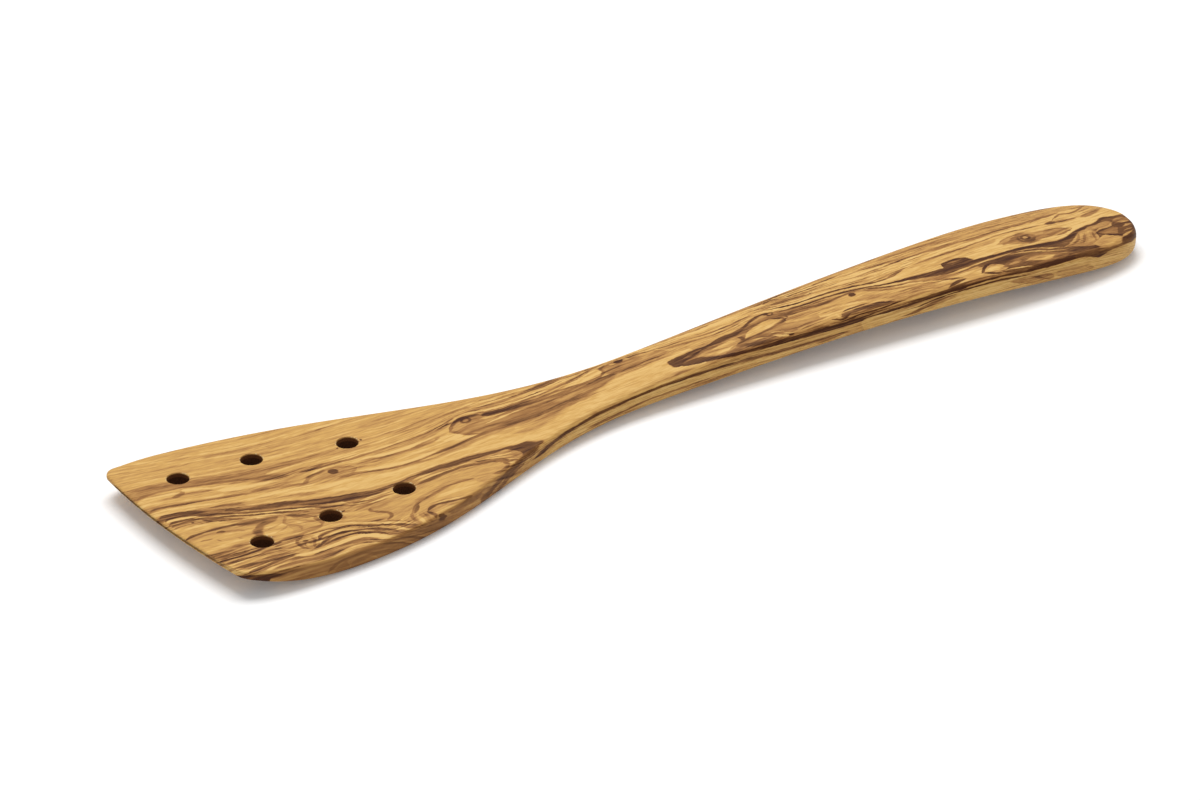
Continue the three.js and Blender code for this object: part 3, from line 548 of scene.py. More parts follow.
# Near side of the blade: the pale front, the arch at the front hole, the swirl and the lobed yellow patch.
near_side_of_blade = [
    area(0.16, [2, -3, 6, -3.1, 9, -3.4, 12, -4.6, 16, -6, 20, -7.4], [2, -8.8, 5, -7.9, 9, -7.4, 14, -7.4,
         20, -7.8], 0.8, 0.6),
    area(0.34, [3, -9.6, 6, -9, 12, -8.6, 20, -9.6, 23, -10.6], [3, -17, 10, -17.4, 16, -16.5, 20, -14, 23, -11],
         0.8, 1),
    line(0.74, 0.7, 11, -9.9, 12.2, -9.5, 13.4, -9.7, 14.4, -10.2),
    line(0.66, 0.6, 6, -11.6, 7.5, -11.3, 9, -11.5, 10.8, -11.6),
    line(0.66, 0.6, 10.4, -12.2, 11, -12.9, 11.8, -13.8),
    line(0.52, 0.6, 4.6, -13.8, 7, -13.9, 9, -14.6),
    line(0.62, 0.6, 15, -13.8, 16, -14.4, 17, -15),
    line(0.5, 0.5, 6, -15.6, 9, -15.2, 11, -15.8),
    line(0.56, 1.1, 11, -17.6, 13.5, -17.4, 16, -17.8),
    line(0.5, 0.6, 16, -10.6, 18, -11.4, 19.4, -12.4),
    area(0.22, [22.3, -13.4, 24, -11.9, 26, -11.2, 28, -10.8, 30, -12], [22.3, -17, 24, -19, 26, -19.4, 28, -19,
         30, -17], 1.4, 1.4),
    line(0.42, 0.5, 22.6, -14.6, 24.6, -14, 27, -13.4, 29, -12.4),
    line(0.44, 0.5, 23, -17, 25.4, -16.4, 28, -15.4, 30, -14),
    line(0.72, 1.6, 15, -8, 19, -8.7, 23, -9.3, 26, -9.6, 29, -9.8),
    line(0.86, 0.8, 2.4, -9.8, 5, -8.5, 8, -8.1, 12, -7.9, 16, -8.1, 20, -8.8, 24, -9.4, 28.6, -9.8),
    line(0.74, 1.6, 20.6, -13.2, 22, -12.2, 23.6, -11.4, 25.4, -10.7, 27.4, -10.2, 29.4, -9.6),
    upright(0.74, 1.9, -17.4, 21.4, -15.4, 20.9, -13.8, 21.1, -12.4, 22, -11.2, 23.4),
    area(0.38, [29.6, -10, 33, -11.6, 36, -13.2, 39, -14], [29.6, -19.4, 33, -19.4, 36, -19, 39, -18.2], 1, 1),
    upright(0.56, 0.8, -19, 30.4, -17.4, 31.2, -16, 30.6, -14.6, 29.2, -13.2, 28.8, -11.6, 29.6, -10, 29.9),
    line(0.74, 1.4, 29.6, -9.8, 31.4, -10.8, 33.4, -12, 35.6, -13.4, 38, -14.8),
    line(0.56, 0.8, 31, -13, 33.4, -14.6, 35, -16.4, 36.8, -17.8),
    line(0.2, 0.8, 30.4, -13.4, 32, -15, 33.4, -17),
    upright(0.7, 1.1, -19.6, 35.4, -18, 36.9, -16.6, 36.3, -15, 36.3, -13.4, 37.2),
    line(0.68, 1, 21.5, -20.6, 25, -20.4, 29, -20.2, 32, -19.8, 35, -19.4, 38, -18.6),
    line(0.54, 0.8, 4.6, -18.4, 8, -18.1, 12, -17.8),
    line(0.7, 0.7, 4.8, -19.9, 8, -20.1, 12, -19.7, 15, -19.5, 17.6, -19.3),
    line(0.62, 0.8, 5.2, -21.2, 9, -21, 14, -20.8, 18, -20.4),
    line(0.86, 0.9, 5.4, -22.9, 7, -22.2, 10, -22.1, 14, -22, 18, -21.5, 22, -21.1, 25, -21.2),
    line(0.6, 0.6, 6, -23.5, 10, -23.2, 14, -23, 19, -22.4),
    line(0.66, 0.9, 19, -22.6, 23, -22.1, 26.5, -21.8, 29, -21, 31, -20.4),
    line(0.78, 0.8, 5.8, -24.6, 9, -24.3, 12, -24.3, 16, -23.7, 19, -23, 22, -23.4, 24.6, -24.4),
    line(0.12, 0.6, 6.4, -25.2, 10, -24.9, 14, -24.4, 18, -24),
    line(0.66, 0.9, 6.2, -25.8, 10, -25.4, 14, -25, 18, -24.6, 22, -24.8, 26, -26),
    line(0.7, 0.8, 14, -26, 18, -25.9, 22, -26.2, 26.6, -27.4),
    line(0.86, 1.1, 6.4, -26.6, 10, -26.9, 15, -27.2, 20, -27.4, 24, -27.9, 28, -29),
    area(-0.04, [6.8, -27.4, 12, -27.6, 17, -27.9, 22, -28.3, 25, -28.4], [6.8, -29.4, 10, -29.4, 14, -28.7,
         18, -28.4, 25, -28.5], 0.4, 0.4),
    area(0.42, [9, -30.2, 13, -29.9, 18, -29, 24, -29, 28, -30, 40, -30, 44, -32, 47, -34.2], [9, -30.8, 14, -33,
         20, -34.2, 30, -34.4, 40, -34.4, 47, -34.3], 0.6, 0.6),
    line(0.84, 0.9, 9, -30.2, 12, -29.5, 16, -29, 19, -28.4, 22, -28.1, 25, -28.4),
    line(0.06, 1, 13.4, -30.7, 16, -30.9, 19, -30.7, 22, -30.4),
    line(0.66, 0.9, 18, -29.6, 22, -29.4, 26, -30.2, 30, -30.6, 36, -30.2),
    line(0.68, 1.2, 14, -31.6, 18, -31.5, 23, -31.6, 28, -32.1, 33, -31.9, 38, -31.6),
    line(0.5, 1, 16, -32.6, 22, -32.8, 30, -33.2, 38, -32.8, 42, -33.4),
    # A pale line along the near arris: painted highlight where the edge catches the light.
    line(0.1, 0.9, 17, -33.5, 24, -33.7, 32, -34.2, 40, -34.1),
    area(0.54, [26.6, -22.6, 28, -21.4, 30, -20.8, 31.4, -21.6], [26.6, -25, 28, -27.4, 30, -27.6, 31.4, -25], 0.8,
         0.8),
    upright(0.78, 0.8, -28, 29.2, -26.4, 27.7, -24.8, 26.9, -23.2, 26.9, -21.8, 28.2, -20.8, 30),
    upright(0.72, 0.7, -28, 29.4, -26.6, 30.2, -25, 30.8, -23.4, 31, -22, 30.6),
    knot(0.9, 28.9, -23.5, 0.7, 0.55),
    upright(0.68, 0.5, -26.6, 28.8, -25.6, 28.2, -24.6, 28.4),
    line(0.14, 0.6, 28, -25.2, 28.9, -25, 29.8, -25.6),
    line(0.1, 0.7, 31.4, -26.6, 32.4, -25.8, 33.6, -25),
    line(0.86, 1, 31.6, -25, 32.4, -23.9, 34, -23.1, 37, -22.7, 40, -22.5, 42, -23, 45, -24.7, 48, -26.3, 52, -28.4,
         56, -30.8, 58, -32.4),
    area(0.62, [28, -27.9, 31, -27, 33, -26, 35, -24.8, 38, -24.5, 41, -24.8, 44, -25.8, 47, -27.4, 50, -29.4,
         53, -31.6, 55, -33.4], [28, -28.7, 31, -28.3, 34, -27.7, 38, -27.5, 41, -27.5, 44, -28.5, 47, -30.4,
         49, -32.4, 51, -34, 55, -34.4], 0.4, 0.5),
    line(0.88, 0.9, 28, -28.2, 31, -27.1, 33, -26.1, 35.4, -25, 38, -24.8, 41, -25.2, 44, -26.3, 47, -28, 50, -30,
         53, -32.4),
    line(0.3, 0.5, 33, -27, 36, -25.9, 39, -25.7, 42, -26.2, 45, -27.6, 48, -29.8),
    line(0.8, 0.8, 31, -28, 34, -27, 38, -26.5, 41, -26.7, 44, -27.8, 47, -29.6, 50, -32.6),
    line(-0.06, 1.3, 22.6, -28, 25, -28.8, 28, -29.4, 31, -29.1, 35, -28.6, 39, -28.3, 42, -28.6, 44.6, -29.8,
         47, -31.6, 49.4, -34),
    line(0.76, 0.7, 26, -30.3, 30, -30, 35, -29.6, 40, -29.4, 42.6, -30.2, 45, -31.8, 47, -33.8),
    line(0.66, 0.9, 45, -23, 49, -25, 53, -27.2, 57, -29.8),
    line(0.12, 0.8, 46, -24.4, 50, -26.4, 54, -28.6, 57.6, -31.2),
    line(0.74, 0.9, 50, -28, 53, -29.8, 56, -32, 57.4, -33.8),
    line(0.16, 0.7, 50, -29, 53, -31, 55.4, -33.4),
    area(0.33, [43, -16.9, 52, -16.8, 60, -17, 70, -15.5, 78, -15, 86, -17, 91, -19], [43, -20, 52, -25, 58, -27,
         66, -25, 74, -26.5, 80, -27, 86, -23, 91, -19.5], 1, 1),
    area(0.38, [49.6, -18.3, 54, -17.5, 60, -18.5, 65, -20], [49.6, -19.5, 53, -24, 56, -27, 60, -25, 65, -20.5],
         0.8, 2),
    area(0.48, [49.8, -18.2, 51, -17.2, 54, -16.9, 60, -17.2, 65, -17], [49.8, -19, 51, -20.6, 53, -20.4, 56, -19,
         60, -18.2, 65, -17.4], 0.5, 1.6),
    upright(0.72, 1, -26, 50.8, -25.2, 51.9, -24.2, 52.9, -23, 53, -21.7, 51.9, -20.4, 50.4, -18.8, 49.8,
         -17.6, 50.6),
    upright(0.64, 0.9, -34, 57.4, -31, 57.2, -28.4, 57, -26.4, 57.6, -24.6, 58.6),
    upright(0.12, 0.8, -34, 58.8, -31, 58.6, -28, 58.6, -26, 59.6),
    upright(0.62, 0.8, -34, 60.2, -31, 60.2, -28.6, 60.6, -26.6, 60.4),
    area(0.18, [66, -22.4, 70, -21.2, 76, -20.8, 80, -22], [66, -23, 70, -24.6, 76, -25.2, 80, -24], 0.6, 1),
    line(0.46, 1.8, 59.4, -22.8, 62, -21.6, 66, -20.7, 70, -19.5, 75, -19.2, 79, -19.6),
    line(0.68, 0.9, 57.4, -26.5, 58.7, -25.1, 60.3, -23.4, 62, -22.3, 65, -21.7, 67.2, -21.2, 70, -20.4,
         73.5, -20.1, 77.7, -20.2, 80.3, -21),
    upright(0.6, 0.8, -24.6, 81.2, -22.8, 81.6, -21.4, 80.9, -20.6, 79.4),
    line(0.8, 0.8, 57.8, -26.8, 59, -25.6, 60.4, -24.4, 61.4, -23.4),
    line(0.52, 0.5, 62, -24.6, 66, -24.7, 70, -25.4, 75, -26),
    line(0.1, 0.5, 63, -25.1, 67, -25.2, 71, -25.9, 75, -26.4),
    area(0.36, [78, -16.4, 82, -16.2, 86, -16.6, 90, -18], [78, -17.4, 82, -18.8, 86, -20, 90, -19.6], 1, 1),
    line(0.7, 1, 83.6, -21, 85.6, -21.5, 87.6, -21.2, 89.6, -20.2, 91, -19.8),
    upright(0.66, 0.8, -20.6, 90.6, -18.6, 90.1, -16.6, 89.8),
    area(0.44, [79.5, -21, 82, -21, 84.5, -22], [79.5, -23, 82, -24.6, 84.5, -23.6], 0.8, 0.8),
    area(0.34, [61.6, -27, 64, -25.9, 68, -26, 72, -26.7, 75, -26.8], [61.6, -27.4, 64, -28.8, 66.5, -29.8,
         70, -29.2, 75, -26.9], 0.5, 0.8),
    line(0.84, 0.8, 61, -27.6, 62.6, -26.5, 65, -25.9, 68, -26.3, 71, -26.9, 73.6, -27.1, 75.4, -26.9),
    line(0.5, 0.5, 66, -27.6, 69, -28, 72, -27.8),
    line(0.8, 0.9, 64.6, -30.9, 66.6, -30.7, 68.7, -30.2, 71, -29.3, 73.4, -28, 75.4, -26.9),
    line(0.68, 1.5, 64, -32, 67, -31.2, 71, -30, 75, -28.4, 79, -26.6),
    upright(0.84, 1, -32.4, 61.4, -30, 62.3, -28.4, 62.1, -26.2, 61.4),
    upright(1.05, 1.2, -35.2, 60.6, -33.2, 62, -31.4, 63.4, -29.6, 64.7),
    knot(1.05, 63.5, -31.3, 0.9, 1.2),
    line(0.84, 1.8, 72, -33, 75, -31.2, 79, -28.8, 83, -26.2, 87, -23.8, 91, -21.5, 95, -19.3, 99, -17.6,
         103, -15.6),
    line(0.5, 0.5, 75, -31.8, 79, -29.4, 83, -26.8, 88, -23.8),
    line(0.78, 0.7, 77, -31.2, 82, -28.3, 86, -25.8, 90, -23.5, 97, -20.6),
    upright(0.86, 1.5, -16.8, 101, -16, 101.9, -14.8, 102.3, -13.8, 101.7, -13.2, 100.2),
    upright(0.76, 0.9, -20.6, 90.7, -19, 90.5, -17.6, 90.2, -16.6, 89.2, -15.8, 87.6),
    upright(0.74, 0.8, -20.4, 92.6, -19, 93.1, -18, 92, -17, 90.8),
    upright(0.14, 0.8, -20.4, 91.7, -19.2, 91.7, -18.2, 91),
    line(0.62, 0.5, 65.4, -13.2, 70, -12.8, 76, -12.7, 82, -13.1),
    line(0.7, 0.6, 82, -13.4, 85.4, -14.4, 88.7, -15.6, 90.2, -16.6),
    line(0.66, 0.5, 86, -13.6, 89, -14.7, 92, -15.6, 94.8, -16.2),
    line(0.1, 0.6, 85, -13.7, 88, -14.8, 91, -15.8, 94.4, -16.8),
    line(0.72, 0.8, 44, -11.8, 47, -13.2, 50, -14.2, 53, -14.4),
    line(0.14, 0.6, 44.4, -12.6, 47, -13.9, 49.6, -14.8, 53, -15),
    line(0.7, 0.7, 44, -13.4, 47, -14.6, 49.6, -15.3, 53, -15.5, 58.6, -15),
    line(0.14, 0.6, 50, -15.9, 54, -15.9, 58.8, -15.5),
    line(0.68, 0.6, 44, -17.4, 48, -17, 53, -16.5, 58.9, -16.2),
    line(0.56, 0.6, 5, -18.9, 10, -18.8, 16, -18.6),
    line(0.62, 0.6, 6.4, -27.5, 10, -27.8, 14, -28.1, 18, -28),
    line(0.6, 0.5, 10, -31, 14, -30.3, 18, -29.9, 23, -29.8),
    knot(0.9, 43.5, -16, 0.6, 0.25),
]

# Near edge of the blade: dark end grain round the front corner, made darker still as painted shade where the corner
# faces away from the lamp, then the figure of the face running down it.
near_edge_of_blade = [
    # The dark front corner: partly end grain, partly painted shade.
    area(1.02, [6.2, -29.5, 9, -30.5, 12, -31.8, 15, -33, 18, -34.2], [6.2, -35, 9, -37, 12, -36.4, 15, -35.4,
         18, -34.4], 0.5, 0.6),
    area(0.36, [13, -35, 17, -34.4, 24, -34.4, 32, -34.8, 38, -35], [13, -41, 20, -43, 32, -43, 38, -35.2], 0.4,
         0.4),
    area(0.56, [28, -39, 32, -36.6, 38, -34.8, 46, -34, 56, -33.6, 63, -33.4], [28, -43, 46, -43, 63, -43], 0.8,
         0.6),
    line(0.36, 1.2, 31, -41, 33, -37.8, 36, -36.8, 39, -38.4, 40.4, -41),
    line(0.7, 0.8, 24, -40.4, 28, -38, 32, -36.2, 36, -35.6, 39.6, -36.4, 42, -39),
    line(0.82, 1.3, 43, -33.8, 46, -35, 49, -37.2, 52, -41),
    line(0.24, 0.8, 45.4, -34.2, 48.4, -36, 50.6, -38.6, 52.6, -41),
    line(0.86, 1.3, 48.4, -33.4, 51, -35.2, 53.6, -38, 55, -41),
    line(0.3, 0.8, 51, -34, 53.4, -36, 55.6, -38.6),
    line(0.74, 1.2, 52.6, -33.4, 56, -35, 60, -36, 64, -36),
]

# Neck: smooth yellow wood, an olive-brown patch on its far side, and dark lines down its near side. Its near rounding
# has a band of painted shade, and its near wall is painted paler as painted light.
neck = [
    area(0.12, [97, -8, 104, -8.5, 110, -7.5, 118, -4.5, 128, -2.2, 136, 0.6, 144, 0.8, 152, 1, 160, 0.6],
         [97, -11.6, 104, -15.5, 110, -14, 118, -12.2, 128, -11, 136, -10, 144, -9.3, 150, -8.6, 160, -9], 1.6,
         1.2),
    line(0.5, 0.7, 96, 12, 101, 11.8, 106, 11.3, 112, 10.4),
    line(0.1, 0.8, 94, 11.4, 100, 11, 106, 10.6, 112, 10, 119, 9.4),
    line(0.52, 0.5, 96, 10.2, 102, 10, 108, 9.8, 115, 9.4),
    line(0.1, 0.6, 96, 9.5, 102, 9.3, 108, 9.1, 114, 9),
    line(0.66, 1.1, 94, 8.7, 100, 8.4, 106, 8, 112, 8.1, 117, 8.7, 122, 8.9, 129, 8.7),
    area(0.1, [97, 7.3, 104, 6.9, 110, 6.9, 116, 7.4, 122, 8, 128, 8, 135, 7.9], [97, 6.6, 104, 5.5, 110, 5.4,
         116, 5.6, 122, 6, 128, 7, 135, 7.8], 0.4, 0.4),
    line(0.4, 0.4, 99, 6.6, 106, 6.1, 113, 6.2, 120, 6.8, 127, 7.6),
    line(0.76, 0.6, 96, 7, 98.4, 5.8, 101, 5.1, 106, 4.9, 111, 4.9, 116, 5.1, 121, 5.5, 125, 5.9, 128, 6.5,
         131, 7.3, 135, 7.8, 139, 7.9),
    area(0.1, [119, 4, 122, 4.6, 126, 5.4, 130, 6.5, 134, 6.8], [119, 3.8, 122, 3.6, 126, 3.1, 130, 3.1, 134, 4.2],
         0.4, 0.4),
    line(0.7, 0.5, 96, 2.2, 100, 2.4, 104, 2.6, 108, 2.2),
    line(0.56, 0.6, 104, 1, 110, 2, 116, 1.4, 122, 1.2),
    line(0.52, 1.2, 96, -4.4, 103, -4.7, 110, -4.7, 117, -4, 124, -3.6, 131, -3.2),
    line(0.54, 0.7, 97, -5.8, 104, -6.3, 110, -6.1, 115, -5.2),
    area(0.62, [134.2, 4, 135.2, 6.4, 137, 7, 140, 7.3, 145, 7.2, 149, 6.9, 151, 5.8, 153, 4.4, 155, 2.4],
         [134.2, 3.6, 136, 2.2, 139, 1.5, 143, 1.2, 148, 1.1, 152, 1.4, 155, 2.2], 0.3, 0.6),
    area(0.66, [135, 4.6, 138, 5.6, 142, 5.6, 146, 4.8], [135, 3.6, 138, 2.6, 142, 2.2, 146, 2.6], 0.8, 0.8),
    area(0.44, [145.6, 6.6, 148, 6.8, 150, 6, 152, 4.8], [145.6, 5.6, 148, 4.4, 150, 4, 152, 4.4], 0.5, 0.8),
    upright(0.76, 0.9, 2.6, 132.6, 3.6, 134.2, 4.8, 134.8, 5.8, 134.7, 6.7, 135.6, 7.6, 137.6),
    line(0.62, 0.6, 135, 7.7, 140, 7.7, 145, 7.4, 149, 7.3),
    line(0.1, 0.7, 142, 7, 143.3, 6.6, 144.8, 5.9),
    line(0.2, 0.6, 137.4, 6.8, 138.8, 6.3, 140.2, 5.9),
    knot(1.04, 141, 6.5, 1.3, 0.9),
    line(0.06, 0.7, 149, 7.6, 152, 6.6, 156, 5.8, 161, 5.5, 168, 4.6),
    line(0.56, 0.9, 154, 6.4, 158, 5.9, 162, 5.6, 168, 5.2, 176, 5.2),
    line(0.76, 0.6, 146, 7, 149, 6.9, 152, 5.7, 156, 5, 160, 4.8, 164, 4.2, 168, 3.6, 172, 3.4, 176, 3.6, 180, 4.1,
         184, 4.5, 187, 4.5, 190, 4, 194, 3.2, 199, 2.7),
    line(0.5, 0.5, 152, 7.5, 160, 7.1, 170, 7, 180, 7.6, 190, 7.6, 202, 6.6),
    line(0.54, 0.5, 165, 6.2, 175, 5.8, 185, 6.3, 195, 5.6, 204, 5),
    line(0.58, 0.7, 156, 8, 168, 8.3, 180, 8.8, 192, 9, 206, 9.2),
    line(0.04, 0.5, 170, 7.6, 180, 8.2, 190, 8.2, 200, 7.4, 212, 6.8),
    # A darker band along the near rounding: painted shade where the edge curves away from the light.
    area(0.36, [103, -16, 110, -13.6, 120, -11.2, 130, -10, 140, -9.6, 150, -9.6, 158, -9.8, 164, -11, 172, -12.5,
         184, -14.6, 200, -16.6], [103, -18.6, 110, -15.5, 120, -13, 130, -12, 140, -11.7, 150, -12.2, 160, -13.4,
         170, -15, 180, -16.5, 192, -18, 200, -18.8], 1, 0.6),
    # A pale band down the near wall: painted light, lifting a wall that faces away from the lamp.
    area(0.2, [98, -22.4, 104, -19.4, 110, -16.8, 116, -15, 122, -13.6, 130, -12.5, 140, -12.2, 150, -12.6,
         160, -13.9, 170, -15.6, 180, -17, 190, -18.2, 204, -19.4], [98, -23.6, 104, -21.4, 112, -19.4, 120, -17,
         130, -16, 140, -15.6, 150, -16.2, 160, -17.4, 170, -18.4, 180, -19.4, 190, -20, 204, -20], 0.4, 0.6),
    line(0.9, 1.1, 95, -22, 99, -20.4, 103, -18.4, 107, -16.7, 111, -15.3, 115, -14.3, 119, -13.2, 124, -12.4,
         130, -12, 140, -11.8, 150, -12.1, 155, -12.5, 160, -13.2, 165, -14.2, 171, -15.2),
    line(0.76, 1.4, 162, -13.8, 168, -14.8, 174, -15.8, 180, -16.5, 185, -17.1, 190, -17.8, 196, -18.4, 204, -18.8),
    line(0.74, 0.8, 113, -17.6, 119, -16.9, 125, -16.3, 131, -15.8, 136, -15.5, 141, -15.6, 147, -15.9, 153, -16.3,
         160, -17),
    line(0.62, 1, 144, -17, 152, -17.4, 160, -17.8, 168, -18.2),
    line(0.7, 0.9, 187, -18.9, 192, -19.2, 198, -18.9, 203, -19.2),
]

